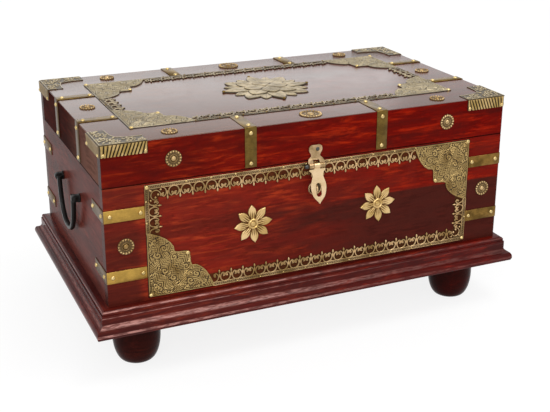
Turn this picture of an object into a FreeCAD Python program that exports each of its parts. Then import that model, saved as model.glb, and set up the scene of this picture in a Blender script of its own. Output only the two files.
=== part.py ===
import FreeCAD, Part
import math
import os

# Arabic dowry chest: a lacquered sheesham box on a moulded plinth with four turned feet,
# a hinged lid, and sheet brass straps, caps, pierced lace borders, flowers and rosettes.
# Millimetres. X runs along the chest, the front looks along -Y, Z is up, and the origin is
# on the floor at the middle of the four feet.

Vector = FreeCAD.Vector

# Carcass
chest_length = 540.0
chest_depth = 320.0
case_height = 147.0
lid_height = 51.0
seam_gap = 0.3
board_thickness = 13.0
bottom_thickness = 9.0
lid_top_thickness = 10.0
seam_chamfer = 0.8
overrun = 2.0

# Plinth moulding: a small round under the ledge, a flat, a cove and a bottom bead
plinth_height = 32.0
plinth_overhang = 20.0
plinth_rail_inset = 20.0
ledge_overhang = 10.0
ledge_round = 3.0
ledge_round_drop = 5.5
plinth_flat_step = 1.2
plinth_flat_drop = 13.5
cove_drop = 21.5
cove_reach = 5.8
bead_step = 0.9
cove_mid_share = 0.28
bead_bottom_inset = 1.4

# Turned feet with a dowel each, and the blocks that take the dowels
foot_height = 61.0
foot_radius = 30.0
foot_top_radius = 29.0
foot_bottom_radius = 17.0
foot_round_height = 34.0
foot_round_shares = ((0.40, 0.08), (0.74, 0.27), (0.94, 0.60))
foot_sides = 20
foot_inset_x = 42.0
foot_inset_y = 37.0
dowel_radius = 8.0
dowel_sides = 8
dowel_length = 24.0
dowel_clearance = 0.1
foot_block_size = 56.0

# Sheet brass
strap_width = 15.0
strap_thickness = 1.0
strap_lace_gap = 0.4
corner_strap_height_shares = (0.25, 0.767)
lid_strap_seam_gap = 1.5
lid_strap_share_x = 0.328
lid_strap_share_y = 0.35
nail_radius = 2.8
nail_height = 1.9
nail_end_distance = 5.0
nail_bend_distance = 7.0
nail_sides = 6
knuckle_sides = 12

# Corner caps of the lid: a flat flange on top and a ribbed skirt on two faces
cap_leg = 55.5
cap_flange_width = 20.0
cap_curve_shares = ((0.16, 0.0), (0.55, 0.03), (0.86, 0.13))
cap_thickness = 0.9
cap_skirt_height = 14.0
cap_rib_height = 1.0
cap_rib_count = 9
cap_rib_slant_share = 0.45

# Lace borders
lace_thickness = 0.9
lace_band_width = 5.0
lace_depth = 15.0
lace_pitch = 15.5
case_lace_margin = 49.0
case_lace_rise = 3.0
case_lace_drop = 2.0
lid_lace_margin = 49.0
lace_corner_start = 20.0
lace_ring_share = 0.30
lace_ring_centre_share = 0.42
lace_ring_opening_deg = 60.0
lace_ring_points = 3
lace_drop_shares = (0.12, 0.82)
lace_curl_shares = (0.36, 0.76)

# Filigree corner plates, outlined as shares of the leg along both edges
filigree_leg = 82.0
filigree_edge = 5.0
filigree_lobe_shares = ((0.94, 0.19), (0.885, 0.285), (0.81, 0.36), (0.74, 0.40), (0.655, 0.415))
filigree_tip_shares = ((0.65, 0.50), (0.65, 0.56), (0.62, 0.62))
filigree_tip_nail_share = 0.61

# Flowers, medallion and rosettes
flower_spread_share = 0.319
flower_height_share = 0.517
flower_radius = 25.0
flower_petals = 8
flower_turn = 5.0
flower_side_share = 0.64
flower_side_angle_share = 0.40
flower_valley_share = 0.44
flower_ridge_share = 0.60
flower_edge_height = 1.0
flower_ridge_height = 2.4
flower_boss_radius = 6.0
medallion_radius = 64.0
medallion_petals = 16
medallion_short_share = 0.84
medallion_valley_share = 0.84
medallion_side_share = 0.88
medallion_boss_radius = 9.0
small_rosette_radius = 10.0
large_rosette_radius = 14.5
rosette_height = 2.8
rosette_sides = 10
rosette_shares = ((1.0, 0.30), (0.82, 0.70), (0.48, 0.28))
lid_rosette_share = 0.683
top_rosette_share = 0.672
top_rosette_inset = 21.5
top_end_rosette_inset = 26.5

# Hinges at the back: two brass butt hinges let into the meeting edges
hinge_spread = 150.0
hinge_width = 50.0
hinge_leaf_depth = 11.0
hinge_leaf_thickness = 1.4
hinge_knuckle_radius = 3.4
hinge_knuckle_count = 3
hinge_knuckle_gap = 0.3
hinge_pin_radius = 1.5
pivot_clearance = 0.06
recess_clearance = 0.1
screw_spread = 16.0
screw_head_radius = 2.6
screw_tip_radius = 1.4
screw_sides = 6

# Hasp: a plate on the lid, a hanging slotted leaf and a staple on the case
hasp_offset = -3.5
hasp_plate_thickness = 1.6
hasp_head_shares = ((0.70, 0.0), (0.74, 0.22), (0.97, 0.48), (1.0, 0.68), (0.86, 0.88), (0.45, 1.0))
hasp_head_width = 18.4
hasp_flare_width = 22.0
hasp_axis_drop = 6.0
hasp_flare_rise = 6.0
hasp_ramp_rise = 8.5
hasp_plate_rise = 25.6
hasp_waist_rise = 11.0
hasp_axis_reach = 5.2
hasp_knuckle_radius = 3.3
hasp_barrel_width = 21.4
hasp_knuckle_gap = 0.25
hasp_middle_width = 8.0
hasp_notch_rise = 3.2
hasp_pin_radius = 1.3
hasp_ball_radius = 2.9
hasp_ball_neck = 1.2
hasp_ball_shares = ((0.5, -0.87), (0.87, -0.5), (1.0, 0.0), (0.87, 0.5), (0.5, 0.87))
leaf_rest_angle = 12.0
leaf_top_drop = 4.2
leaf_top_width = 22.0
leaf_waist_width = 14.5
leaf_length = 48.0
leaf_side_shares = ((0.0, 0.0), (0.34, 0.07), (0.93, 0.17), (1.26, 0.28), (1.43, 0.41), (1.41, 0.52),
                    (1.17, 0.64), (1.0, 0.73), (1.03, 0.78), (1.22, 0.84))
leaf_slot_shares = ((0.38, 0.0), (0.85, 0.08), (1.0, 0.2), (1.0, 0.8), (0.85, 0.92), (0.38, 1.0))
leaf_slot_width = 8.0
leaf_slot_top = 21.0
leaf_slot_bottom = 40.5
staple_plate_radius = 9.0
staple_plate_thickness = 1.2
staple_plate_sides = 24
staple_height = 14.0
staple_reach = 9.4
staple_bar = 2.6
staple_width = 3.0
staple_bend_points = 9

# Bail handles of black iron on the two ends
handle_height_share = 0.667
handle_bracket_spread = 46.0
handle_reach = 7.0
handle_bar = 6.4
handle_bar_chamfer = 1.9
handle_arm_spread = 38.0
handle_foot_spread = 29.0
handle_drop = 52.0
handle_bend_radius = 20.0
handle_bend_steps = 4
handle_stub_radius = 2.4
bracket_plate_width = 12.0
bracket_plate_height = 14.0
bracket_plate_thickness = 2.0
bracket_eye_radius = 5.4
bracket_eye_width = 7.0
bracket_eye_points = 6

# Heights and half sizes that follow
half_length = chest_length / 2
half_depth = chest_depth / 2
plinth_bottom = foot_height
case_bottom = foot_height + plinth_height
case_top = case_bottom + case_height
lid_bottom = case_top + seam_gap
lid_top = lid_bottom + lid_height
seam_middle = case_top + seam_gap / 2

# Places of the fittings, measured on the faces from the middle of the case's foot
case_lace_length = chest_length - 2 * case_lace_margin
case_lace_height = case_height - case_lace_rise - case_lace_drop
lid_lace_length = chest_length - 2 * lid_lace_margin
lid_lace_depth = chest_depth - 2 * lid_lace_margin
corner_strap_leg = case_lace_margin - strap_lace_gap
corner_strap_heights = [case_height * share for share in corner_strap_height_shares]
lid_strap_top_leg = lid_lace_margin - strap_lace_gap
lid_strap_drop = lid_height - lid_strap_seam_gap
lid_strap_spread_x = half_length * lid_strap_share_x
lid_strap_spread_y = half_depth * lid_strap_share_y
flower_spread = half_length * flower_spread_share
flower_height = case_height * flower_height_share
case_rosette_spread = half_length - case_lace_margin / 2
case_rosette_height = case_height / 2
lid_rosette_spread = half_length * lid_rosette_share
lid_rosette_height = case_height + seam_gap + lid_height / 2
top_rosette_spread_x = half_length * top_rosette_share
top_rosette_spread_y = half_depth - top_rosette_inset
top_rosette_end_x = half_length - top_end_rosette_inset
hasp_axis_height = case_height - hasp_axis_drop
hasp_flare_height = hasp_axis_height + hasp_flare_rise
hasp_ramp_top = hasp_axis_height + hasp_ramp_rise
hasp_waist_height = hasp_axis_height + hasp_waist_rise
hasp_head_top = hasp_axis_height + hasp_plate_rise
handle_height = case_height * handle_height_share

# The outer faces: where each begins, and its directions to the right and up
faces = {
    "front": (Vector(0, -half_depth, case_bottom), Vector(1, 0, 0), Vector(0, 0, 1)),
    "back": (Vector(0, half_depth, case_bottom), Vector(-1, 0, 0), Vector(0, 0, 1)),
    "left": (Vector(-half_length, 0, case_bottom), Vector(0, -1, 0), Vector(0, 0, 1)),
    "right": (Vector(half_length, 0, case_bottom), Vector(0, 1, 0), Vector(0, 0, 1)),
    "top": (Vector(0, 0, lid_top), Vector(1, 0, 0), Vector(0, 1, 0)),
}


def save(name, *solids):
    """Write one sub-part, with its separate solids side by side."""
    shape = solids[0] if len(solids) == 1 else Part.makeCompound(list(solids))
    shape.exportStep("parts/" + name + ".step")


def box(x0, y0, z0, x1, y1, z1):
    """Block between two corners."""
    return Part.makeBox(x1 - x0, y1 - y0, z1 - z0, Vector(x0, y0, z0))


def moved(shape, x=0, y=0, z=0):
    """Copy of a shape, moved."""
    copy = shape.copy()
    copy.translate(Vector(x, y, z))
    return copy


def turned(shape, axis, degrees, centre=Vector(0, 0, 0)):
    """Copy of a shape, turned about an axis."""
    copy = shape.copy()
    copy.rotate(centre, axis, degrees)
    return copy


def mirrored(shape, normal=Vector(1, 0, 0)):
    """Copy of a shape, reflected in a plane through the origin."""
    return shape.mirror(Vector(0, 0, 0), normal)


def on_face(shape, side, right=0, up=0):
    """Put a shape made flat on X and Y, thickness along Z, on an outer face of the chest."""
    origin, u, v = faces[side]
    w = u.cross(v)
    spot = origin + u * right + v * up
    matrix = FreeCAD.Matrix(u.x, v.x, w.x, spot.x, u.y, v.y, w.y, spot.y, u.z, v.z, w.z, spot.z, 0, 0, 0, 1)
    copy = shape.copy()
    copy.Placement = FreeCAD.Placement(matrix).multiply(copy.Placement)
    return copy


def plate(points, thickness):
    """Flat plate from a closed outline of points on X and Y."""
    wire = Part.makePolygon([Vector(x, y, 0) for x, y in points + [points[0]]])
    return Part.Face(wire).extrude(Vector(0, 0, thickness))


def arc(start, middle, end):
    """Arc edge through three points on X and Y."""
    return Part.Arc(Vector(*start, 0), Vector(*middle, 0), Vector(*end, 0)).toShape()


def line(start, end):
    """Straight edge between two points on X and Y."""
    return Part.makeLine(Vector(*start, 0), Vector(*end, 0))


def cut_sheet(edges, thickness):
    """Flat plate from edges that close on each other."""
    return Part.Face(Part.Wire(edges)).extrude(Vector(0, 0, thickness))


def faceted_solid(flat_faces):
    """Closed solid from lists of corner points, one list for each flat face."""
    made = [Part.Face(Part.makePolygon(corners + [corners[0]])) for corners in flat_faces]
    solid = Part.Solid(Part.makeShell(made))
    if solid.Volume < 0:
        solid.reverse()
    return solid


def faceted_turning(profile, sides):
    """Turned form with flat sides: profile gives (radius, height) from the base rim to the top."""
    def ring(radius, height):
        steps = [2 * math.pi * k / sides for k in range(sides)]
        return [Vector(radius * math.cos(a), radius * math.sin(a), height) for a in steps]

    rings = [ring(r, h) for r, h in profile if r > 0]
    flats = [rings[0]]
    for low, high in zip(rings, rings[1:]):
        flats += [[low[k - 1], low[k], high[k], high[k - 1]] for k in range(sides)]
    if profile[-1][0] > 0:
        flats.append(rings[-1])
    else:
        peak = Vector(0, 0, profile[-1][1])
        flats += [[rings[-1][k - 1], rings[-1][k], peak] for k in range(sides)]
    return faceted_solid(flats)


def nail(base):
    """Domed brass nail head that sits on a sheet of the given thickness."""
    return moved(faceted_turning(((nail_radius, 0), (0, nail_height)), nail_sides), 0, 0, base)


def barrel(radius, start, end):
    """Rolled knuckle round the X axis, from one place along it to another."""
    along_z = faceted_turning(((radius, 0), (radius, end - start)), knuckle_sides)
    return moved(turned(along_z, Vector(0, 1, 0), 90), start)


def make_carcass():
    """Front and back boards run full length, the end boards stand between them."""
    inner = half_depth - board_thickness
    bevel = plate([(-seam_chamfer, 0), (0, -seam_chamfer), (overrun, -seam_chamfer),
                   (overrun, overrun), (-seam_chamfer, overrun)], chest_length + 2 * overrun)
    outer_edge = turned(turned(bevel, Vector(1, 0, 0), 90), Vector(0, 0, 1), -90)
    long_bevel = moved(outer_edge, half_length + overrun, -half_depth, case_top)
    back_bevel = turned(long_bevel, Vector(0, 0, 1), 180)
    end_bevel = turned(outer_edge, Vector(0, 0, 1), -90)
    end_bevel = moved(end_bevel, -half_length, -half_length - overrun, case_top)
    front = box(-half_length, -half_depth, case_bottom, half_length, -inner, case_top).cut(long_bevel)
    back = box(-half_length, inner, case_bottom, half_length, half_depth, case_top).cut(back_bevel)
    left = box(-half_length, -inner, case_bottom, board_thickness - half_length, inner, case_top)
    left = left.cut(end_bevel)
    save("case_front_board", front)
    save("case_back_board", back.cut(hinge_recesses(case_top - hinge_leaf_thickness, case_top + overrun)))
    save("case_left_board", left)
    save("case_right_board", turned(left, Vector(0, 0, 1), 180))
    inside = half_length - board_thickness
    bottom = box(-inside, -inner, case_bottom, inside, inner, case_bottom + bottom_thickness)
    save("case_bottom_board", bottom)


def make_lid_boards():
    """Four rails carry the glued top panel, which covers their upper edges."""
    inner = half_depth - board_thickness
    rail_top = lid_top - lid_top_thickness
    front = box(-half_length, -half_depth, lid_bottom, half_length, -inner, rail_top)
    back = box(-half_length, inner, lid_bottom, half_length, half_depth, rail_top)
    left = box(-half_length, -inner, lid_bottom, board_thickness - half_length, inner, rail_top)
    save("lid_front_rail", front)
    save("lid_back_rail", back.cut(hinge_recesses(lid_bottom - overrun, lid_bottom + hinge_leaf_thickness)))
    save("lid_left_rail", left)
    save("lid_right_rail", turned(left, Vector(0, 0, 1), 180))
    save("lid_top_panel", box(-half_length, -half_depth, rail_top, half_length, half_depth, lid_top))


def plinth_moulding(length):
    """Mitred length of plinth with its moulded face towards -Y and the carcass face at Y zero."""
    flat = ledge_overhang + plinth_flat_step
    cove_end = flat + cove_reach
    bead_top = cove_end + bead_step
    bead_foot = plinth_overhang - bead_bottom_inset
    bead_middle = (cove_drop + plinth_height) / 2
    cove_middle = (flat + cove_reach * cove_mid_share,
                   -cove_drop + (cove_drop - plinth_flat_drop) * cove_mid_share)
    half_round = ledge_round * math.sqrt(1 / 2)
    outline = [
        line((-plinth_rail_inset, 0), (ledge_overhang - ledge_round, 0)),
        arc((ledge_overhang - ledge_round, 0),
            (ledge_overhang - ledge_round + half_round, half_round - ledge_round),
            (ledge_overhang, -ledge_round)),
        line((ledge_overhang, -ledge_round), (ledge_overhang, -ledge_round_drop)),
        line((ledge_overhang, -ledge_round_drop), (flat, -ledge_round_drop)),
        line((flat, -ledge_round_drop), (flat, -plinth_flat_drop)),
        arc((flat, -plinth_flat_drop), cove_middle, (cove_end, -cove_drop)),
        line((cove_end, -cove_drop), (bead_top, -cove_drop)),
        arc((bead_top, -cove_drop), (plinth_overhang, -bead_middle), (bead_foot, -plinth_height)),
        line((bead_foot, -plinth_height), (-plinth_rail_inset, -plinth_height)),
        line((-plinth_rail_inset, -plinth_height), (-plinth_rail_inset, 0)),
    ]
    reach = plinth_overhang + overrun
    moulding = cut_sheet(outline, length + 2 * reach)
    moulding = turned(turned(moulding, Vector(1, 0, 0), 90), Vector(0, 0, 1), -90)
    moulding = moved(moulding, length / 2 + reach)
    inset = plinth_rail_inset + overrun
    corners = [(-length / 2 + inset, inset), (length / 2 - inset, inset),
               (length / 2 + reach, -reach), (-length / 2 - reach, -reach)]
    mitre = moved(plate(corners, plinth_height + 2 * overrun), 0, 0, -plinth_height - overrun)
    return moulding.common(mitre)


def make_plinth_and_feet():
    """Mitred moulding frame with corner blocks, and turned feet on dowels under it."""
    long_piece = moved(plinth_moulding(chest_length), 0, -half_depth, case_bottom)
    end_piece = moved(plinth_moulding(chest_depth), 0, -half_length, case_bottom)
    save("plinth_front", long_piece)
    save("plinth_back", turned(long_piece, Vector(0, 0, 1), 180))
    save("plinth_left", turned(end_piece, Vector(0, 0, 1), -90))
    save("plinth_right", turned(end_piece, Vector(0, 0, 1), 90))

    swell = foot_radius - foot_bottom_radius
    profile = [(foot_bottom_radius, 0)]
    for across, rise in foot_round_shares:
        profile.append((foot_bottom_radius + swell * across, foot_round_height * rise))
    profile += [(foot_radius, foot_round_height), (foot_top_radius, foot_height)]
    dowel_top = foot_height + dowel_length
    dowel = faceted_turning(((dowel_radius, foot_height), (dowel_radius, dowel_top)), dowel_sides)
    foot = faceted_turning(profile, foot_sides).fuse(dowel)
    hole_radius = dowel_radius + dowel_clearance
    hole_depth = dowel_length + dowel_clearance
    hole = faceted_turning(((hole_radius, -overrun), (hole_radius, hole_depth)), dowel_sides)
    feet = []
    blocks = []
    for sx in (-1, 1):
        for sy in (-1, 1):
            x = sx * (half_length - foot_inset_x)
            y = sy * (half_depth - foot_inset_y)
            feet.append(moved(foot, x, y))
            far_x = sx * (half_length - plinth_rail_inset)
            far_y = sy * (half_depth - plinth_rail_inset)
            near_x = far_x - sx * foot_block_size
            near_y = far_y - sy * foot_block_size
            block = box(min(far_x, near_x), min(far_y, near_y), plinth_bottom,
                        max(far_x, near_x), max(far_y, near_y), case_bottom)
            blocks.append(block.cut(moved(hole, x, y, plinth_bottom)))
    save("feet", *feet)
    save("foot_blocks", *blocks)


def bent_strap(first_leg, second_leg):
    """Strap bent over a corner at the origin: one leg lies back along X, the other along Y."""
    t = strap_thickness
    section = [(-first_leg, 0), (0, 0), (0, -second_leg), (t, -second_leg), (t, t / 2), (t / 2, t),
               (-first_leg, t)]
    return moved(plate(section, strap_width), 0, 0, -strap_width / 2)


def make_corner_straps():
    """Two brass straps wrap each upright corner of the case, with two nails in each leg."""
    upright = bent_strap(corner_strap_leg, corner_strap_leg)
    back_right = [moved(upright, half_length, half_depth, case_bottom + height)
                  for height in corner_strap_heights]
    back_left = [mirrored(piece) for piece in back_right]
    save("corner_straps_back_right", *back_right)
    save("corner_straps_back_left", *back_left)
    save("corner_straps_front_left", *[turned(piece, Vector(0, 0, 1), 180) for piece in back_right])
    save("corner_straps_front_right", *[turned(piece, Vector(0, 0, 1), 180) for piece in back_left])

    nails = []
    halves = {"front": half_length, "back": half_length, "left": half_depth, "right": half_depth}
    for side, half in halves.items():
        for height in corner_strap_heights:
            for place in (half - nail_bend_distance, half - corner_strap_leg + nail_end_distance):
                for sign in (-1, 1):
                    nails.append(on_face(nail(strap_thickness), side, sign * place, height))
    return nails


def make_lid_straps():
    """Two straps on each edge of the lid, from the lace border over the edge down to the seam."""
    across = turned(bent_strap(lid_strap_top_leg, lid_strap_drop), Vector(1, 0, 0), 90)
    right_edge = moved(across, half_length, 0, lid_top)
    back_edge = moved(turned(across, Vector(0, 0, 1), 90), 0, half_depth, lid_top)
    right = [moved(right_edge, 0, s * lid_strap_spread_y) for s in (-1, 1)]
    back = [moved(back_edge, s * lid_strap_spread_x) for s in (-1, 1)]
    save("lid_straps_right", *right)
    save("lid_straps_back", *back)
    save("lid_straps_left", *[turned(piece, Vector(0, 0, 1), 180) for piece in right])
    save("lid_straps_front", *[turned(piece, Vector(0, 0, 1), 180) for piece in back])

    nails = []
    lid_face_top = lid_top - case_bottom
    for side, spread in (("front", lid_strap_spread_x), ("back", lid_strap_spread_x),
                         ("left", lid_strap_spread_y), ("right", lid_strap_spread_y)):
        for height in (lid_face_top - nail_bend_distance, lid_face_top - lid_strap_drop + nail_end_distance):
            for sign in (-1, 1):
                nails.append(on_face(nail(strap_thickness), side, sign * spread, height))
    for sign in (-1, 1):
        for other in (-1, 1):
            for inset in (nail_bend_distance, lid_strap_top_leg - nail_end_distance):
                x = other * (half_length - inset)
                y = other * (half_depth - inset)
                nails.append(on_face(nail(strap_thickness), "top", x, sign * lid_strap_spread_y))
                nails.append(on_face(nail(strap_thickness), "top", sign * lid_strap_spread_x, y))
    return nails


def ribbed_skirt():
    """Skirt of a cap with slanting ribs: a zigzag section drawn down along a slope, ends trimmed."""
    pitch = cap_leg / cap_rib_count
    slant = cap_skirt_height * cap_rib_slant_share
    spare = math.ceil(slant / pitch) + 1
    crests = []
    for k in range(-spare, cap_rib_count + spare):
        crests += [(k * pitch, cap_thickness), ((k + 1 / 2) * pitch, cap_thickness + cap_rib_height)]
    last = (cap_rib_count + spare) * pitch
    section = [(-spare * pitch, 0)] + crests + [(last, cap_thickness), (last, 0)]
    wire = Part.makePolygon([Vector(x, -y, 0) for x, y in section + [section[0]]])
    ribs = Part.Face(wire).extrude(Vector(slant, 0, cap_skirt_height))
    return ribs.common(box(0, -cap_leg, 0, cap_leg, 0, cap_skirt_height))


def make_corner_caps():
    """Pressed brass caps over the four corners of the lid."""
    skirt = ribbed_skirt()
    rim = cap_thickness
    leg = cap_leg
    span = leg - cap_flange_width
    curve = [(leg - span * along, cap_flange_width + span * across) for along, across in cap_curve_shares]
    curve += [(y, x) for x, y in reversed(curve)]
    outline = [(-rim, -rim), (leg, -rim), (leg, cap_flange_width)]
    outline += curve + [(cap_flange_width, leg), (-rim, leg)]
    flange = moved(plate(outline, cap_thickness), 0, 0, cap_skirt_height)
    corner_post = box(-rim, -rim, 0, 0, 0, cap_skirt_height)
    cap = flange.fuse([skirt, mirrored(skirt, Vector(1, -1, 0)), corner_post]).removeSplitter()
    front_left = moved(cap, -half_length, -half_depth, lid_top - cap_skirt_height)
    front_right = mirrored(front_left)
    save("corner_cap_front_left", front_left)
    save("corner_cap_front_right", front_right)
    save("corner_cap_back_right", turned(front_left, Vector(0, 0, 1), 180))
    save("corner_cap_back_left", turned(front_right, Vector(0, 0, 1), 180))


def lace_repeat(start, pitch):
    """Inner edge of one repeat of the lace: a drop, then a horseshoe open between two curls."""
    def spot(share_along, share_in):
        return (start + share_along * pitch, lace_band_width + share_in * lace_depth)

    left = [spot(0, 1), spot(*lace_drop_shares), spot(*lace_curl_shares)]
    right = [spot(1 - along, deep) for along, deep in (lace_curl_shares, lace_drop_shares)]
    centre_x, centre_y = spot(1 / 2, lace_ring_centre_share)
    radius = lace_ring_share * pitch
    ring = []
    for k in range(lace_ring_points):
        turn = lace_ring_opening_deg + k * (360 - 2 * lace_ring_opening_deg) / (lace_ring_points - 1)
        angle = math.radians(turn)
        ring.append((centre_x - radius * math.sin(angle), centre_y + radius * math.cos(angle)))
    return left + ring + right


def lace_strip(length, mitred):
    """Strip of pierced lace along X, outer edge at Y zero, mitred or not at its start."""
    margin = lace_corner_start if mitred else 0
    repeats = max(1, round((length - margin) / lace_pitch))
    pitch = (length - margin) / repeats
    band = lace_band_width
    outline = [(0, 0)]
    if mitred:
        outline += [(band, band), (margin, band)]
    else:
        outline += [(0, band)]
    for k in range(repeats):
        outline += lace_repeat(margin + k * pitch, pitch)
    return plate(outline + [(length, band + lace_depth), (length, band), (length, 0)], lace_thickness)


def make_case_lace():
    """Lace frame on the front of the case, broken by two filigree corners."""
    long_strip = lace_strip(case_lace_length - filigree_leg, True)
    short_strip = lace_strip(case_lace_height - filigree_leg, True)
    half = case_lace_length / 2
    low = case_lace_rise
    high = case_lace_rise + case_lace_height
    long_mirror = mirrored(long_strip)
    pin = Vector(0, 0, 1)
    save("case_lace_bottom", on_face(long_mirror, "front", half, low))
    save("case_lace_top", on_face(turned(long_mirror, pin, 180), "front", -half, high))
    save("case_lace_left", on_face(turned(short_strip, pin, -90), "front", -half, high))
    save("case_lace_right", on_face(turned(short_strip, pin, 90), "front", half, low))


def filigree_plate():
    """Ogee corner plate with its square corner at the origin and a pointed lobe on the diagonal."""
    leg = filigree_leg
    lobe = [(leg * along, leg * across) for along, across in filigree_lobe_shares + filigree_tip_shares]
    other = [(y, x) for x, y in reversed(lobe)]
    return plate([(0, 0), (leg, 0), (leg, filigree_edge)] + lobe + other + [(filigree_edge, leg), (0, leg)],
                 lace_thickness)


def make_case_filigree():
    """Filigree corners of the case front: lower left and upper right."""
    corner = filigree_plate()
    half = case_lace_length / 2
    high = case_lace_rise + case_lace_height
    save("case_filigree_lower_left", on_face(corner, "front", -half, case_lace_rise))
    save("case_filigree_upper_right", on_face(turned(corner, Vector(0, 0, 1), 180), "front", half, high))
    inset = nail_radius
    tip = filigree_leg * filigree_tip_nail_share
    places = [(-half + inset, high - inset), (half - inset, high - inset),
              (-half + inset, case_lace_rise + inset), (half - inset, case_lace_rise + inset),
              (-half + tip, case_lace_rise + tip), (half - tip, high - tip)]
    return [on_face(nail(lace_thickness), "front", x, z) for x, z in places]


def make_lid_lace():
    """Lace border on the top of the lid with a filigree plate in each corner."""
    half_x = lid_lace_length / 2
    half_y = lid_lace_depth / 2
    long_strip = lace_strip(lid_lace_length - 2 * filigree_leg, False)
    short_strip = lace_strip(lid_lace_depth - 2 * filigree_leg, False)
    pin = Vector(0, 0, 1)
    front = moved(long_strip, filigree_leg - half_x, -half_y, lid_top)
    right = moved(turned(short_strip, pin, 90), half_x, filigree_leg - half_y, lid_top)
    save("lid_lace_front", front)
    save("lid_lace_back", turned(front, pin, 180))
    save("lid_lace_right", right)
    save("lid_lace_left", turned(right, pin, 180))

    corner = filigree_plate()
    plates = []
    nails = []
    tip = filigree_leg * filigree_tip_nail_share
    for sx, sy, turn in ((-1, -1, 0), (1, -1, 90), (1, 1, 180), (-1, 1, 270)):
        plates.append(on_face(turned(corner, pin, turn), "top", sx * half_x, sy * half_y))
        for inset in (nail_radius, tip):
            head = nail(lace_thickness)
            nails.append(on_face(head, "top", sx * (half_x - inset), sy * (half_y - inset)))
    save("lid_filigree_corners", *plates)
    return nails


def ridged_flower(petals, long_radius, short_radius, boss_radius, side_share, valley_share):
    """Pressed flower of pointed petals, each with a raised midrib, round a domed boss."""
    step = 2 * math.pi / petals

    def spot(radius, angle, height):
        return Vector(radius * math.cos(angle), radius * math.sin(angle), height)

    outline = []
    ridges = []
    for k in range(petals):
        reach = short_radius if k % 2 else long_radius
        angle = k * step
        swing = step * flower_side_angle_share
        side = reach * side_share
        valley = short_radius * valley_share
        outline += [spot(valley, angle - step / 2, flower_edge_height),
                    spot(side, angle - swing, flower_edge_height),
                    spot(reach, angle, flower_edge_height),
                    spot(side, angle + swing, flower_edge_height)]
        ridges.append(spot(reach * flower_ridge_share, angle, flower_ridge_height))
    count = len(outline)
    below = [Vector(p.x, p.y, 0) for p in outline]
    centre = Vector(0, 0, flower_ridge_height)
    flats = [below]
    for k in range(count):
        after = (k + 1) % count
        ridge = ridges[k // 4]
        flats.append([below[k], below[after], outline[after], outline[k]])
        flats.append([outline[k], outline[after], ridge])
    for k in range(petals):
        flats.append([centre, outline[4 * k], ridges[k]])
        flats.append([centre, ridges[k], outline[(4 * k + 4) % count]])
    boss = faceted_turning(((boss_radius, 0), (boss_radius, flower_ridge_height),
                            (0, flower_ridge_height + nail_height)), rosette_sides)
    return faceted_solid(flats).fuse(boss)


def make_flowers():
    """Two flowers on the case front and the leafy medallion on the lid."""
    flower = ridged_flower(flower_petals, flower_radius, flower_radius, flower_boss_radius,
                           flower_side_share, flower_valley_share)
    flower = turned(flower, Vector(0, 0, 1), flower_turn)
    save("flower_left", on_face(flower, "front", -flower_spread, flower_height))
    save("flower_right", on_face(flower, "front", flower_spread, flower_height))
    short = medallion_radius * medallion_short_share
    medallion = ridged_flower(medallion_petals, medallion_radius, short, medallion_boss_radius,
                              medallion_side_share, medallion_valley_share)
    save("lid_medallion", on_face(medallion, "top"))


def rosette(radius):
    """Pressed rosette: a rope ring, a dished ground and a domed nail in the middle."""
    profile = [(radius, 0)] + [(radius * r, rosette_height * h) for r, h in rosette_shares]
    return faceted_turning(profile + [(0, rosette_height)], rosette_sides)


def make_rosettes():
    """Rosettes on the case front, the lid front and round the lid top."""
    small = rosette(small_rosette_radius)
    large = rosette(large_rosette_radius)
    sides = (-1, 1)
    on_case = [on_face(small, "front", s * case_rosette_spread, case_rosette_height) for s in sides]
    save("case_rosettes", *on_case)
    lid_small = [on_face(small, "front", s * lid_rosette_spread, lid_rosette_height) for s in sides]
    for sign in (-1, 1):
        lid_small.append(on_face(small, "top", sign * top_rosette_end_x, 0))
        for other in (-1, 1):
            spot = (sign * top_rosette_spread_x, other * top_rosette_spread_y)
            lid_small.append(on_face(small, "top", *spot))
    save("lid_rosettes_small", *lid_small)
    save("lid_rosettes_large", *[on_face(large, "top", 0, s * top_rosette_spread_y) for s in sides])


def hinge_recesses(low, high):
    """Room for both hinge leaves in a meeting edge of a back board."""
    half = hinge_width / 2 + recess_clearance
    near = half_depth - hinge_leaf_depth - recess_clearance
    rooms = [box(s * hinge_spread - half, near, low, s * hinge_spread + half, half_depth + overrun, high)
             for s in (-1, 1)]
    return rooms[0].fuse(rooms[1])


def hinge_parts():
    """Leaves, pin and screws of one butt hinge, its pin on the X axis of its own frame."""
    reach = hinge_knuckle_radius + seam_gap
    half = hinge_width / 2
    step = hinge_width / hinge_knuckle_count
    screw_seat = hinge_leaf_thickness
    inner = seam_gap / 2
    screw = faceted_turning(((screw_tip_radius, 0), (screw_head_radius, screw_seat)), screw_sides)
    places = [(s * screw_spread, -reach - hinge_leaf_depth / 2) for s in (-1, 1)]
    bore = Part.makeCylinder(hinge_pin_radius + pivot_clearance, hinge_width + 2 * overrun,
                             Vector(-half - overrun, 0, 0), Vector(1, 0, 0))
    leaves = []
    screws = []
    for first, side in ((0, -1), (1, 1)):
        low = -inner - hinge_leaf_thickness
        leaf = box(-half, -reach - hinge_leaf_depth, low, half, -reach, -inner)
        for k in range(first, hinge_knuckle_count, 2):
            start = -half + k * step + (hinge_knuckle_gap / 2 if k else 0)
            last = k == hinge_knuckle_count - 1
            end = -half + (k + 1) * step - (0 if last else hinge_knuckle_gap / 2)
            tab = box(start, -reach, low, end, 0, -inner)
            leaf = leaf.fuse([tab, barrel(hinge_knuckle_radius, start, end)])
        heads = [moved(screw, x, y, low) for x, y in places]
        leaf = leaf.removeSplitter().cut([bore] + heads)
        if side > 0:
            leaf = mirrored(leaf, Vector(0, 0, 1))
            heads = [mirrored(head, Vector(0, 0, 1)) for head in heads]
        leaves.append(leaf)
        screws += heads
    pin = Part.makeCylinder(hinge_pin_radius, hinge_width, Vector(-half, 0, 0), Vector(1, 0, 0))
    return leaves, pin, screws


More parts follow.
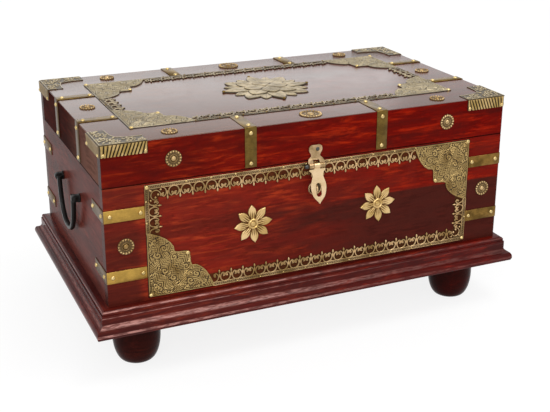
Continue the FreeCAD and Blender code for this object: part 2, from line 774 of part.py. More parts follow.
def make_hinges():
    """Two hinges, let in flush with the rim of the case and the edge of the lid."""
    leaves, pin, screws = hinge_parts()
    axis_y = half_depth + hinge_knuckle_radius + seam_gap

    def pair(piece):
        return [moved(piece, s * hinge_spread, axis_y, seam_middle) for s in (-1, 1)]

    save("hinge_case_leaves", *pair(leaves[0]))
    save("hinge_lid_leaves", *pair(leaves[1]))
    save("hinge_pins", *pair(pin))
    save("hinge_case_screws", *[copy for head in screws[:2] for copy in pair(head)])
    save("hinge_lid_screws", *[copy for head in screws[2:] for copy in pair(head)])


def hasp_barrel(width):
    """Barrel round the hasp's pin, across a width in the middle of the hasp."""
    return moved(barrel(hasp_knuckle_radius, -width / 2, width / 2), 0, hasp_axis_height, hasp_axis_reach)


def mirrored_outline(right_side):
    """Closed outline from the points of its right half, listed from the bottom to the top."""
    left_side = [(-x, y) for x, y in reversed(right_side) if x > 0]
    return right_side + left_side


def make_hasp_plate():
    """Keyhole plate screwed to the lid, ramped out over the seam to two knuckles."""
    flare = hasp_flare_width / 2
    head_height = hasp_head_top - hasp_waist_height
    head = [(hasp_head_width / 2 * across, hasp_waist_height + head_height * rise)
            for across, rise in hasp_head_shares]
    right_side = [(flare, hasp_axis_height), (flare, hasp_flare_height)] + head
    outline = plate(mirrored_outline(right_side), hasp_axis_reach + hasp_knuckle_radius)
    t = hasp_plate_thickness
    barrel_top = hasp_axis_height + hasp_knuckle_radius
    section = [(0, hasp_head_top + overrun), (0, hasp_ramp_top), (hasp_axis_reach - t, barrel_top - t),
               (hasp_axis_reach - t, hasp_axis_height), (hasp_axis_reach, hasp_axis_height),
               (hasp_axis_reach, barrel_top), (t, hasp_ramp_top + t), (t, hasp_head_top + overrun)]
    wire = Part.makePolygon([Vector(-flare - overrun, z, y) for y, z in section + [section[0]]])
    folded = Part.Face(wire).extrude(Vector(hasp_flare_width + 2 * overrun, 0, 0))
    sheet = outline.common(folded)
    gap = hasp_middle_width / 2 + hasp_knuckle_gap
    notch = box(-gap, hasp_axis_height - 2 * hasp_knuckle_radius, -overrun,
                gap, hasp_axis_height + hasp_knuckle_radius + hasp_notch_rise, 2 * hasp_axis_reach)
    hasp_plate = sheet.fuse(hasp_barrel(hasp_barrel_width)).cut(notch).cut(hasp_bore())
    save("hasp_plate", on_face(hasp_plate, "front", hasp_offset))

    start = Vector(-hasp_barrel_width / 2 - hasp_ball_neck, hasp_axis_height, hasp_axis_reach)
    pin = Part.makeCylinder(hasp_pin_radius, hasp_barrel_width + hasp_ball_neck, start, Vector(1, 0, 0))
    profile = [(hasp_ball_radius * across, hasp_ball_radius * rise) for across, rise in hasp_ball_shares]
    ball = turned(faceted_turning(profile, rosette_sides), Vector(0, 1, 0), 90)
    ball = moved(ball, start.x + hasp_ball_neck - hasp_ball_radius, start.y, start.z)
    save("hasp_pin", on_face(pin.fuse(ball), "front", hasp_offset))


def hasp_bore():
    """Hole for the hasp pin with its running clearance."""
    start = Vector(-hasp_barrel_width, hasp_axis_height, hasp_axis_reach)
    radius = hasp_pin_radius + pivot_clearance
    return Part.makeCylinder(radius, 2 * hasp_barrel_width, start, Vector(1, 0, 0))


def make_hasp_leaf():
    """Slotted leaf that hangs from the barrel and rests just in front of the staple."""
    axis_y = hasp_axis_height
    top = leaf_top_width / 2
    right_side = [(leaf_waist_width / 2 * across, axis_y - leaf_length + leaf_length * rise)
                  for across, rise in leaf_side_shares]
    right_side += [(top, axis_y - leaf_top_drop - hasp_plate_thickness), (top, axis_y - leaf_top_drop)]
    t = hasp_plate_thickness
    sheet = plate(mirrored_outline(right_side), t)
    half_tongue = hasp_middle_width / 2
    tongue = box(-half_tongue, axis_y - leaf_top_drop - overrun, 0, half_tongue, axis_y, t)
    sheet = moved(sheet.fuse(tongue), 0, 0, hasp_axis_reach - t / 2)
    slot_length = leaf_slot_bottom - leaf_slot_top
    slot_side = [(leaf_slot_width / 2 * across, axis_y - leaf_slot_bottom + slot_length * rise)
                 for across, rise in leaf_slot_shares]
    slot = plate(mirrored_outline(slot_side), 2 * hasp_axis_reach)
    leaf = sheet.cut(slot).fuse(hasp_barrel(hasp_middle_width)).cut(hasp_bore())
    tilted = turned(leaf, Vector(1, 0, 0), -leaf_rest_angle, Vector(0, hasp_axis_height, hasp_axis_reach))
    save("hasp_leaf", on_face(tilted, "front", hasp_offset))


def make_staple():
    """Round plate on the case front and the standing eye that the leaf's slot goes over."""
    height = hasp_axis_height - (leaf_slot_top + leaf_slot_bottom) / 2
    disc = faceted_turning(((staple_plate_radius, 0), (staple_plate_radius, staple_plate_thickness)),
                           staple_plate_sides)
    save("staple_plate", on_face(disc, "front", hasp_offset, height))
    outer = staple_height / 2
    inner = outer - staple_bar
    shoulder = staple_reach - outer

    def bend(radius):
        turns = [math.pi * k / (staple_bend_points - 1) for k in range(staple_bend_points)]
        return [(radius * math.cos(a), shoulder + radius * math.sin(a)) for a in turns]

    base = staple_plate_thickness
    arch = [(outer, base)] + bend(outer) + [(-outer, base)]
    arch += [(-inner, base)] + bend(inner)[::-1] + [(inner, base)]
    eye = turned(plate(arch, staple_width), Vector(1, 0, 0), 90)
    eye = moved(turned(eye, Vector(0, 0, 1), 90), -staple_width / 2)
    save("staple_eye", on_face(eye, "front", hasp_offset, height))


def bail():
    """Bail of flattened bar: two pivot stubs, two leaning arms and a rounded foot."""
    half = handle_bar / 2
    flat = half - handle_bar_chamfer
    lean = math.atan2(handle_arm_spread - handle_foot_spread, handle_drop)
    turn = math.pi / 2 - lean
    setback = handle_bend_radius * math.tan(turn / 2)
    centre = Vector(handle_foot_spread - setback, handle_bend_radius - handle_drop, 0)
    across = Vector(math.cos(lean), -math.sin(lean), 0)
    right_side = [(Vector(handle_arm_spread + half * math.sin(lean), half * math.cos(lean), 0), across)]
    for k in range(handle_bend_steps + 1):
        angle = -lean - turn * k / handle_bend_steps
        outward = Vector(math.cos(angle), math.sin(angle), 0)
        right_side.append((centre + outward * handle_bend_radius, outward))
    left_side = [(Vector(-p.x, p.y, 0), Vector(-o.x, o.y, 0)) for p, o in reversed(right_side)]
    corners = [(half, flat), (flat, half), (-flat, half), (-half, flat),
               (-half, -flat), (-flat, -half), (flat, -half), (half, -flat)]
    rings = [[p + o * a + Vector(0, 0, b) for a, b in corners] for p, o in right_side + left_side]
    flats = [rings[0], rings[-1]]
    for low, high in zip(rings, rings[1:]):
        flats += [[low[k - 1], low[k], high[k], high[k - 1]] for k in range(len(corners))]
    stub_length = handle_bracket_spread + bracket_eye_width / 2 - handle_arm_spread
    stub_start = Vector(handle_arm_spread, 0, 0)
    stub = Part.makeCylinder(handle_stub_radius, stub_length, stub_start, Vector(1, 0, 0))
    return faceted_solid(flats).fuse([stub, mirrored(stub)])


def handle_bracket():
    """Cast bracket: a back plate and a rounded lug with the eye for the bail's stub."""
    half_plate = bracket_plate_height / 2
    half_width = bracket_plate_width / 2
    thickness = bracket_plate_thickness
    lug = [(half_plate, 0), (half_plate, thickness), (bracket_eye_radius, thickness)]
    for k in range(bracket_eye_points):
        angle = math.pi * k / (bracket_eye_points - 1)
        rise = handle_reach + bracket_eye_radius * math.sin(angle)
        lug.append((bracket_eye_radius * math.cos(angle), rise))
    lug += [(-x, y) for x, y in reversed(lug[:3])]
    body = turned(plate(lug, bracket_eye_width), Vector(1, 0, 0), 90)
    body = moved(turned(body, Vector(0, 0, 1), 90), -bracket_eye_width / 2)
    back = box(-half_width, -half_plate, 0, half_width, half_plate, thickness)
    hole = Part.makeCylinder(handle_stub_radius + pivot_clearance, 2 * bracket_plate_width,
                             Vector(-bracket_plate_width, 0, handle_reach), Vector(1, 0, 0))
    return body.fuse(back).cut(hole)


def make_handles():
    """A bail and its two brackets on each end of the case."""
    bracket = handle_bracket()
    swing = moved(bail(), 0, 0, handle_reach)
    brackets = []
    for side in ("left", "right"):
        for sign in (-1, 1):
            brackets.append(on_face(bracket, side, sign * handle_bracket_spread, handle_height))
        save("handle_bail_" + side, on_face(swing, side, 0, handle_height))
    save("handle_brackets", *brackets)


os.makedirs("parts", exist_ok=True)
make_carcass()
make_lid_boards()
make_plinth_and_feet()
make_corner_caps()
make_case_lace()
save("case_nails", *make_corner_straps(), *make_case_filigree())
save("lid_nails", *make_lid_straps(), *make_lid_lace())
make_flowers()
make_rosettes()
make_hinges()
make_hasp_plate()
make_hasp_leaf()
make_staple()
make_handles()
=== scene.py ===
import math

import bpy
from mathutils import Matrix, Vector


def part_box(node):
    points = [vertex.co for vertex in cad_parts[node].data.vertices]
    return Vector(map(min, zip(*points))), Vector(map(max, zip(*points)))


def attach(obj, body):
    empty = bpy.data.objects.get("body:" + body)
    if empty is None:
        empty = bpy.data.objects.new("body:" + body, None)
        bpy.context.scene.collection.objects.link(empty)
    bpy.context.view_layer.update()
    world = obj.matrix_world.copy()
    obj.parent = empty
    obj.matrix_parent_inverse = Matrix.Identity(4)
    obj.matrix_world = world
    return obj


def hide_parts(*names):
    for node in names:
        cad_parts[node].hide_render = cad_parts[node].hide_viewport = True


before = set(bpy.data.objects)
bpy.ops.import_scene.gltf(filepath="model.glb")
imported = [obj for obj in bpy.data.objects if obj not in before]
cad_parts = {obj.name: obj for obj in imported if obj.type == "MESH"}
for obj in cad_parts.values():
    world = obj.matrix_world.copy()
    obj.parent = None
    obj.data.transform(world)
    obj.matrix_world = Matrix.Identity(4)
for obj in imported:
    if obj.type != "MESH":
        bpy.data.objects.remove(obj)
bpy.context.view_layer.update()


# The studio: a white room with a white floor that keeps a faint shadow, a broad soft panel low
# behind the chest, whose sheen slides over the lid, one overhead that catches the plinth's
# rounds, and a key light at the front left. The camera stands where the photograph's did.

camera_place = (-0.52609, -1.22168, 0.63870)
camera_look = Vector((0.38106, 0.86252, -0.33295))
camera_roll = 0.078
camera_lens = 66.76
frame_shift = -0.0582

camera = bpy.data.objects.new("camera", bpy.data.cameras.new("camera"))
bpy.context.collection.objects.link(camera)
camera.location = camera_place
camera.rotation_euler = (
    camera_look.to_track_quat("-Z", "Y").to_matrix() @ Matrix.Rotation(math.radians(camera_roll), 3, "Z")
).to_euler()
camera.data.lens = camera_lens
camera.data.shift_y = frame_shift
bpy.context.scene.camera = camera
bpy.context.scene.view_settings.view_transform = "Standard"


def panel(name, place, aim, width, height, power):
    """A soft light panel that faces a point."""
    lamp = bpy.data.lights.new(name, "AREA")
    lamp.shape = "RECTANGLE"
    lamp.size = width
    lamp.size_y = height
    lamp.energy = power
    holder = bpy.data.objects.new(name, lamp)
    bpy.context.collection.objects.link(holder)
    holder.location = place
    holder.rotation_euler = (Vector(aim) - Vector(place)).to_track_quat("-Z", "Y").to_euler()


chest_middle = (0, 0, 0.15)
panel("back_panel", (0.85, 3.2, 1.48), chest_middle, 2.6, 1.5, 10.3)
panel("top_panel", (0.55, -0.75, 2.4), (0, -0.16, 0.1), 1.3, 0.8, 22)
panel("key_panel", (-1.6, -2.3, 1.9), chest_middle, 1.0, 1.0, 20)

world = bpy.data.worlds.new("studio")
bpy.context.scene.world = world
world.use_nodes = True
world.node_tree.nodes["Background"].inputs["Color"].default_value = (1, 1, 1, 1)
world.node_tree.nodes["Background"].inputs["Strength"].default_value = 1.0


class Wire:
    """A socket of a material, with Python's operators for the Math nodes behind it."""

    def __init__(self, tree, socket):
        self.tree = tree
        self.socket = socket

    def node(self, kind, settings, feeds, output=0):
        """Any node: its settings first, then what its sockets take."""
        made = self.tree.nodes.new(kind)
        for name, value in settings.items():
            setattr(made, name, value)
        for name, value in feeds.items():
            if isinstance(value, Wire):
                self.tree.links.new(value.socket, made.inputs[name])
            else:
                made.inputs[name].default_value = value
        return Wire(self.tree, made.outputs[output])

    def sum_up(self, operation, first, second):
        return self.node("ShaderNodeMath", {"operation": operation}, {0: first, 1: second})

    def __add__(self, other):
        return self.sum_up("ADD", self, other)

    def __radd__(self, other):
        return self.sum_up("ADD", other, self)

    def __sub__(self, other):
        return self.sum_up("SUBTRACT", self, other)

    def __rsub__(self, other):
        return self.sum_up("SUBTRACT", other, self)

    def __mul__(self, other):
        return self.sum_up("MULTIPLY", self, other)

    def __rmul__(self, other):
        return self.sum_up("MULTIPLY", other, self)

    def unsigned(self):
        """Its value without a minus sign."""
        return self.node("ShaderNodeMath", {"operation": "ABSOLUTE"}, {0: self})

    def part(self, axis):
        """The X, Y or Z of these coordinates, counted from 0."""
        return self.node("ShaderNodeSeparateXYZ", {}, {0: self}, axis)

    def ramp(self, low, high):
        """0 up to low, 1 from high, smooth between."""
        return self.node("ShaderNodeMapRange", {"interpolation_type": "SMOOTHSTEP"},
                         {"Value": self, "From Min": low, "From Max": high})

    def noise(self, scale, detail=3.0, roughness=0.5, distortion=0.0):
        """Noise on this wire's coordinates."""
        return self.node("ShaderNodeTexNoise", {},
                         {"Vector": self, "Scale": scale, "Detail": detail, "Roughness": roughness,
                          "Distortion": distortion})

    def stretched(self, scale, shift=(0, 0, 0)):
        """Coordinates drawn out or squeezed along the axes."""
        return self.node("ShaderNodeMapping", {}, {"Vector": self, "Scale": scale, "Location": shift})

    def bump(self, strength, distance):
        """The normal of a surface raised by this height."""
        return self.node("ShaderNodeBump", {}, {"Strength": strength, "Distance": distance, "Height": self})

    def tinted_value(self, first, second):
        """First where this mask is 0, second where it is 1."""
        return first * (1.0 - self) + second * self

    def tinted(self, colour, other):
        """Colour where this mask is 0, the other where it is 1."""
        tones = [tone if isinstance(tone, Wire) else (*tone, 1) for tone in (colour, other)]
        return self.node("ShaderNodeMix", {"data_type": "RGBA"}, {0: self, 6: tones[0], 7: tones[1]}, 2)


def new_finish(name):
    """An empty material: its shader, and its object coordinates as a wire."""
    material = bpy.data.materials.new(name)
    material.use_nodes = True
    tree = material.node_tree
    place = Wire(tree, None).node("ShaderNodeTexCoord", {}, {}, "Object")
    return material, tree.nodes["Principled BSDF"], place


def dress(shader, **wires):
    """Wires and plain values to the shader's sockets, named with low lines for spaces."""
    for name, value in wires.items():
        socket = shader.inputs[name.replace("_", " ").title().replace("Ior", "IOR")]
        if isinstance(value, Wire):
            value.tree.links.new(value.socket, socket)
        else:
            socket.default_value = value


bpy.ops.object.select_all(action="DESELECT")
bpy.ops.mesh.primitive_plane_add(size=40)
floor = bpy.context.object
floor.name = "floor"
white_share = 0.84
floor_white, floor_shader, floor_place = new_finish("white_floor")
dress(floor_shader, base_color=(0.9, 0.9, 0.9, 1), roughness=0.9)
seen_rays = sum(floor_place.node("ShaderNodeLightPath", {}, {}, ray)
                for ray in ("Is Camera Ray", "Is Glossy Ray", "Is Transmission Ray"))
glow = floor_place.node("ShaderNodeEmission", {}, {"Strength": 1.0})
floor_tree = floor_white.node_tree
shown = floor_place.node("ShaderNodeMixShader", {}, {"Fac": seen_rays * white_share,
                                                     1: Wire(floor_tree, floor_shader.outputs[0]), 2: glow})
floor_tree.links.new(shown.socket, floor_tree.nodes["Material Output"].inputs["Surface"])
floor.data.materials.append(floor_white)


# The case's four boards and the lid's four rails: sheesham under red mahogany lacquer, butted
# and glued at the corners. The grain runs along each board, with dark heartwood, orange streaks
# and open pores under the gloss. A black line of painted shade marks the seam between case and lid.

seam_height = (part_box("case_front_board")[1].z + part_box("lid_front_rail")[0].z) / 2
board_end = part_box("case_front_board")[1].x
board_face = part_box("case_back_board")[1].y


def under_lace(place, reach, low, high, width):
    """A mask of the front under its lace frame, which reaches out from the middle."""
    off_side = place.part(0).unsigned()
    off_level = (place.part(2) - (low + high) / 2).unsigned()
    tall = (high - low) / 2
    whole = (reach - off_side).ramp(0, 0.001) * (tall - off_level).ramp(0, 0.001)
    inside = (reach - width - off_side).ramp(-0.001, 0.001) * (tall - width - off_level).ramp(-0.001, 0.001)
    return whole * (1.0 - inside) * place.part(1).ramp(0.02, -0.02)


def lacquered(name, grain, shift, dark, middle, light, ior=1.12, edge=None, crests=(), painted_reflection=None,
              stain_and_shade=None, end_grain_and_shade=None):
    """Lacquered sheesham with its grain along X or Y, redder to the right, with painted shade black in the
    seam.

    edge is (x from which the heartwood's edge is sharp, its height). crests are (height, half
    width, strength) of levels along which pale highlights are painted, fading to the right. The
    painted reflection is a pale tone over the front end. The browned and shaded frame is (half length,
    low, high, width) of a frame under which polish has browned and shade is painted. The board's ends
    are (x, dark, light), their end grain in the tones of the painted shade on the end boards.
    """
    material, shader, place = new_finish(name)
    across = (1.0, 7.0, 7.0) if grain == "X" else (7.0, 1.0, 7.0)
    zone = place.stretched([3.2 * a for a in across], shift).noise(1.0, 4.0, 0.6, 1.4)
    flame = place.stretched([9.0 * a for a in across], shift).noise(1.0, 5.0, 0.6, 2.0)
    thread = place.stretched([40.0 * a for a in across], shift).noise(1.0, 3.0, 0.6, 0.4)
    mottle = place.stretched((22.0, 22.0, 30.0), shift).noise(1.0, 4.0, 0.6, 0.8)
    length, breadth, height = [place.part(axis) for axis in range(3)]
    off_middle = length.unsigned()
    toward_right = length.ramp(-0.26, 0.22)
    body = (zone * 0.58 + mottle * 0.42).ramp(0.34, 0.63)
    if edge is not None:
        above = (height - edge[1] + (zone - 0.5) * 0.012).ramp(-0.001, 0.001)
        faded = (height - edge[1] + (zone - 0.5) * 0.10).ramp(-0.02, 0.03)
        sharp = length.ramp(edge[0] - 0.05, edge[0] + 0.05)
        heart = sharp.tinted_value(faded, above)
        pale_left = length.ramp(-0.05, -0.15) * 0.55
        low_body = (body + pale_left) * (0.5 + pale_left * 0.4 - sharp * 0.42)
        body = heart * (0.45 + body * 0.55) + (1.0 - heart) * low_body
        body = body * (1.0 - length.ramp(-0.220, -0.235) * (0.72 - heart * 0.35))
        body = body * (1.0 - length.ramp(-0.08, -0.24) * height.ramp(0.150, 0.085) * 0.5)
    elif grain == "X":
        body = body * (1.0 - length.ramp(-0.13, -0.24) * 0.4)
    fire = (flame * 0.76 + thread * 0.24).ramp(0.47, 0.72) * body
    redder = [[tone[0] * 0.82, tone[1] * 0.35, tone[2] * 0.3] for tone in (middle, light)]
    colour = body.tinted(dark, toward_right.tinted(middle, redder[0]))
    colour = fire.tinted(colour, toward_right.tinted(light, redder[1]))
    # Under the lace frame the wood is browned: browned polish, and painted shade behind the pierced brass.
    if stain_and_shade is not None:
        colour = (under_lace(place, *stain_and_shade) * 0.8).tinted(colour, (0.050, 0.020, 0.006))
    # Painted reflection: a pale pinkish tone laid over the front part of the end.
    if painted_reflection is not None:
        colour = (breadth.ramp(0.02, -0.13) * 0.7).tinted(colour, painted_reflection)
    # Painted highlights: pale pink speckled bands along the crests of the mouldings, fading towards the
    # right.
    for level, half_width, strength in crests:
        speck = place.stretched([90.0 * a for a in across]).noise(1.0, 2.0, 0.6).ramp(0.38, 0.60)
        soft = half_width * 0.55
        wear_and_highlight = (height - level + half_width).ramp(0, soft) * (level + half_width - height).ramp(0, soft)
        wear_and_highlight = wear_and_highlight * (speck * 0.75 + 0.25) * (strength - toward_right * strength * 0.85)
        colour = wear_and_highlight.tinted(colour, (0.43, 0.205, 0.175))
    # The board's end faces show end grain in the darker tones of the end boards, which are painted shade.
    if end_grain_and_shade is not None:
        at_end = (off_middle - end_grain_and_shade[0]).ramp(-0.0003, -0.0001)
        colour = at_end.tinted(colour, body.tinted(*end_grain_and_shade[1:]))
    smudge = thread.ramp(0.60, 0.40) * mottle.ramp(0.40, 0.62) * 0.4
    colour = smudge.tinted(colour, [c * 0.4 for c in dark])
    # Painted shade: a near-black line along the seam between case and lid, on the outer faces only.
    outside = (off_middle - board_end).ramp(-0.0008, -0.0004)
    outside = outside + (breadth.unsigned() - board_face).ramp(-0.0008, -0.0004)
    seam = (height - seam_height).unsigned().ramp(0.0010, 0.0005)
    colour = (seam * outside).tinted(colour, (0.004, 0.001, 0.001))
    dress(shader, base_color=colour, roughness=0.16 + mottle * 0.14, normal=thread.bump(0.05, 0.001), ior=ior)
    return material


lace_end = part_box("case_lace_right")[1].x - 0.0005
lace_bottom, lace_top, lace_width = 0.0965, 0.2375, 0.0165
red_wood_x = lacquered("red_lacquer_front", "X", (0.62, 0.1, 0.5), (0.050, 0.010, 0.007),
                       (0.190, 0.015, 0.008), (0.38, 0.052, 0.014), ior=1.07, edge=(0.03, 0.180),
                       stain_and_shade=(lace_end, lace_bottom, lace_top, lace_width),
                       end_grain_and_shade=(board_end, (0.040, 0.012, 0.009), (0.105, 0.024, 0.018)))
lid_wood_x = lacquered("red_lacquer_lid", "X", (1.7, 0.4, 0.9), (0.055, 0.0035, 0.0025),
                       (0.165, 0.006, 0.0022), (0.42, 0.040, 0.006), ior=1.08,
                       end_grain_and_shade=(board_end, (0.020, 0.0035, 0.002), (0.050, 0.008, 0.005)))
# Painted shade: the case's end boards are the same lacquered sheesham as the front, written darker and
# browner.
red_wood_y = lacquered("red_lacquer_ends", "Y", (0.2, 2.1, 0.4), (0.040, 0.012, 0.009),
                       (0.105, 0.024, 0.018), (0.15, 0.034, 0.024), ior=1.05)
# Painted shade on the lid's end rails, darker still, with a pale painted reflection over their front part.
lid_wood_y = lacquered("red_lacquer_lid_ends", "Y", (0.5, 1.4, 0.8), (0.020, 0.0035, 0.002),
                       (0.042, 0.005, 0.003), (0.09, 0.012, 0.006), ior=1.01, painted_reflection=(0.17, 0.085, 0.062))


def finish_nodes(material, *names):
    """Gives CAD nodes that stay in view their finish."""
    for name in names:
        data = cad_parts[name].data
        data.materials.clear()
        data.materials.append(material)


finish_nodes(red_wood_x, "case_front_board", "case_back_board")
finish_nodes(lid_wood_x, "lid_front_rail", "lid_back_rail")
finish_nodes(red_wood_y, "case_left_board", "case_right_board")
finish_nodes(lid_wood_y, "lid_left_rail", "lid_right_rail")


# The lid's top panel is one sheesham board, glued down over the four rails. Its upper edges
# are eased by hand under the lacquer, so the light catches them as a thin line.

MM = 0.001
edge_ease = 1.3

lid_low, lid_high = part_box("lid_top_panel")
case_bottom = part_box("case_front_board")[0].z
lid_top = lid_high.z
half_length = lid_high.x / MM
half_depth = lid_high.y / MM
X, Y, Z = Vector((1, 0, 0)), Vector((0, 1, 0)), Vector((0, 0, 1))


def fresh():
    """Nothing is selected, so that the next primitive is worked on alone."""
    bpy.ops.object.select_all(action="DESELECT")


def cut_blank(outline, thickness):
    """A blank cut to an outline on X and Y, in millimetres, and thick upwards."""
    fresh()
    bpy.ops.mesh.primitive_circle_add(vertices=len(outline), fill_type="NGON")
    piece = bpy.context.object
    for vertex, spot in zip(piece.data.vertices, outline):
        vertex.co = (*spot, 0)
    bpy.ops.object.mode_set(mode="EDIT")
    bpy.ops.mesh.select_all(action="SELECT")
    bpy.ops.mesh.extrude_region_move(TRANSFORM_OT_translate={"value": (0, 0, thickness)})
    bpy.ops.mesh.select_all(action="SELECT")
    bpy.ops.mesh.normals_make_consistent(inside=False)
    bpy.ops.mesh.select_all(action="DESELECT")
    bpy.ops.mesh.select_mode(type="EDGE")
    bpy.ops.object.mode_set(mode="OBJECT")
    return piece


def ease_edges(piece, width, segments=2, angle=40):
    """Rounds the sharp edges of a piece and smooths what lies between them."""
    bevel = piece.modifiers.new("ease", "BEVEL")
    bevel.width = width
    bevel.segments = segments
    bevel.limit_method = "ANGLE"
    bevel.angle_limit = math.radians(angle)
    bpy.context.view_layer.objects.active = piece
    bpy.ops.object.modifier_apply(modifier="ease")
    return smooth(piece, angle)


def smooth(piece, angle):
    """Shades a piece smooth up to an angle in degrees."""
    fresh()
    piece.select_set(True)
    bpy.context.view_layer.objects.active = piece
    bpy.ops.object.shade_smooth_by_angle(angle=math.radians(angle))
    return piece


def hang(piece, right, up, origin):
    """Seats a piece made in millimetres: its X along right, its Y along up, its Z outwards."""
    place = Matrix((right, up, right.cross(up))).transposed().to_4x4()
    place.translation = Vector(origin)
    piece.data.transform(place @ Matrix.Scale(MM, 4))
    piece.data.update()
    return piece


def joined(parts):
    """Like parts made one."""
    fresh()
    for part in parts:
        part.select_set(True)
    bpy.context.view_layer.objects.active = parts[0]
    if len(parts) > 1:
        bpy.ops.object.join()
    return parts[0]


def seat(name, body, slot, material, pieces, *nodes):
    """Joins like pieces, gives them their finish, and sets them on a body for CAD nodes."""
    whole = joined(pieces)
    whole.name = name
    whole.data.name = name
    whole.data.materials.clear()
    whole.data.materials.append(material)
    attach(whole, body)
    if nodes:
        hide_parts(*nodes)
    return whole


top_wood = lacquered("red_lacquer_top", "X", (0.9, 0.7, 0.3), (0.060, 0.020, 0.009),
                     (0.105, 0.036, 0.014), (0.15, 0.055, 0.022), ior=1.5)
panel_thickness = (lid_high.z - lid_low.z) / MM
top_corners = [(-half_length, -half_depth), (half_length, -half_depth),
               (half_length, half_depth), (-half_length, half_depth)]
top_panel = cut_blank(top_corners, panel_thickness)
for edge in top_panel.data.edges:
    edge.select = all(top_panel.data.vertices[v].co.z > panel_thickness / 2 for v in edge.vertices)
bpy.ops.object.mode_set(mode="EDIT")
bpy.ops.mesh.bevel(offset=edge_ease, segments=3)
bpy.ops.object.mode_set(mode="OBJECT")
smooth(top_panel, 50)
hang(top_panel, X, Y, (0, 0, lid_low.z))
lid_board = seat("lid_top", "lid", "red_lacquered_wood", top_wood, [top_panel], "lid_top_panel")
lid_board.data.materials.append(lid_wood_x)
lid_board.data.materials.append(lid_wood_y)
for face in lid_board.data.polygons:
    if abs(face.normal.z) < 0.5:
        face.material_index = 1 if abs(face.normal.y) > 0.5 else 2


# The plinth is a frame of four moulded lengths, mitred and glued round the foot of the case: a
# small round under the ledge, a flat, a cove and a bottom bead, in maroon lacquer. Pale
# highlights are painted along its crests, fading towards the right and faint on the ends.

ledge_overhang = 10.0
ledge_round = 3.0
ledge_turn = (2.12, -0.88)
flat_step = 1.2
flat_top, flat_bottom = -5.5, -13.5
cove_reach, cove_bottom = 5.8, -21.5
cove_belly = (1.6, -19.0)
bead_step, bead_belly, bead_under = 0.9, -26.7, 1.4
cove_end = ledge_overhang + flat_step + cove_reach
bead_top = cove_end + bead_step
plinth_overhang = 20.0
plinth_bottom = -32.0
rail_inset = 20.0
# Painted highlights: the crest levels below the case that are painted pale, with half widths and strengths.
highlight_levels = [(case_bottom + level * MM, half * MM, strength)
               for level, half, strength in ((-1.7, 1.1, 1.0), (-8.6, 0.8, 0.6), (-18.9, 2.8, 0.85),
                                             (-27.2, 1.9, 0.85))]
dark_wood_x = lacquered("maroon_lacquer_long", "X", (2.5, 1.3, 0.6), (0.034, 0.004, 0.003),
                        (0.090, 0.008, 0.005), (0.24, 0.030, 0.010), ior=1.2, crests=highlight_levels)
# Painted shade: the plinth's ends are written darker than its front lengths, with narrower, fainter painted
# highlights.
dark_wood_y = lacquered("maroon_lacquer_ends", "Y", (0.6, 3.1, 0.2), (0.030, 0.004, 0.003),
                        (0.070, 0.0065, 0.005), (0.15, 0.020, 0.010), ior=1.15,
                        crests=[(level, half * 0.6, pale * 0.35) for level, half, pale in highlight_levels])


def bow(start, middle, end, steps):
    """Points of the arc through three points, with both ends."""
    (ax, ay), (bx, by), (cx, cy) = start, middle, end
    d = 2 * (ax * (by - cy) + bx * (cy - ay) + cx * (ay - by))
    ux = ((ax**2 + ay**2) * (by - cy) + (bx**2 + by**2) * (cy - ay) + (cx**2 + cy**2) * (ay - by)) / d
    uy = ((ax**2 + ay**2) * (cx - bx) + (bx**2 + by**2) * (ax - cx) + (cx**2 + cy**2) * (bx - ax)) / d
    first = math.atan2(ay - uy, ax - ux)
    sweep = math.atan2(cy - uy, cx - ux) - first
    through = (math.atan2(by - uy, bx - ux) - first) % (2 * math.pi)
    sweep = sweep % (2 * math.pi)
    if through > sweep:
        sweep -= 2 * math.pi
    radius = math.hypot(ax - ux, ay - uy)
    turns = [first + sweep * k / steps for k in range(steps + 1)]
    return [(ux + radius * math.cos(a), uy + radius * math.sin(a)) for a in turns]


def plinth_length(half_span):
    """One moulded length, its wall side at Y zero and its face towards -Y, mitred at both ends."""
    eased = ledge_overhang - ledge_round
    flat = ledge_overhang + flat_step
    section = [(-rail_inset, 0)]
    section += bow((eased, 0), (eased + ledge_turn[0], ledge_turn[1]), (ledge_overhang, -ledge_round), 6)
    section += [(ledge_overhang, flat_top), (flat, flat_top)]
    section += bow((flat, flat_bottom), (flat + cove_belly[0], cove_belly[1]), (cove_end, cove_bottom), 9)
    section += bow((bead_top, cove_bottom), (plinth_overhang, bead_belly),
                   (plinth_overhang - bead_under, plinth_bottom), 9)
    section += [(-rail_inset, plinth_bottom)]
    reach = half_span + plinth_overhang
    piece = cut_blank(section, 2 * reach)
    bpy.ops.object.mode_set(mode="EDIT")
    for sign in (-1, 1):
        bpy.ops.mesh.select_all(action="SELECT")
        bpy.ops.mesh.bisect(plane_co=(0, 0, reach + sign * half_span), plane_no=(-1, 0, sign),
                            use_fill=True, clear_outer=True)
    bpy.ops.mesh.select_all(action="SELECT")
    bpy.ops.mesh.normals_make_consistent(inside=False)
    bpy.ops.object.mode_set(mode="OBJECT")
    piece.data.transform(Matrix.Translation((0, 0, -reach)))
    return ease_edges(piece, 0.35, 1, 30)


for side, half_span, out, spot, material in (
    ("front", half_length, -Y, (0, -half_depth * MM, case_bottom), dark_wood_x),
    ("back", half_length, Y, (0, half_depth * MM, case_bottom), dark_wood_x),
    ("left", half_depth, -X, (-half_length * MM, 0, case_bottom), dark_wood_y),
    ("right", half_depth, X, (half_length * MM, 0, case_bottom), dark_wood_y),
):
    moulding = hang(plinth_length(half_span), out, Z, spot)
    seat("plinth_moulding_" + side, "case", "dark_lacquered_wood", material, [moulding], "plinth_" + side)


# Four feet, turned from maroon lacquered billets: nearly straight sides that round under to
# a small flat. Each is doweled into a corner block.

foot_height = 61.0
foot_radius = 30.0
foot_top_radius = 29.0
foot_flat_radius = 17.0
foot_flat_ease = (1.5, 0.4)
foot_round_height = 34.0
foot_straight_height = 48.0
foot_inset = (42.0, 37.0)


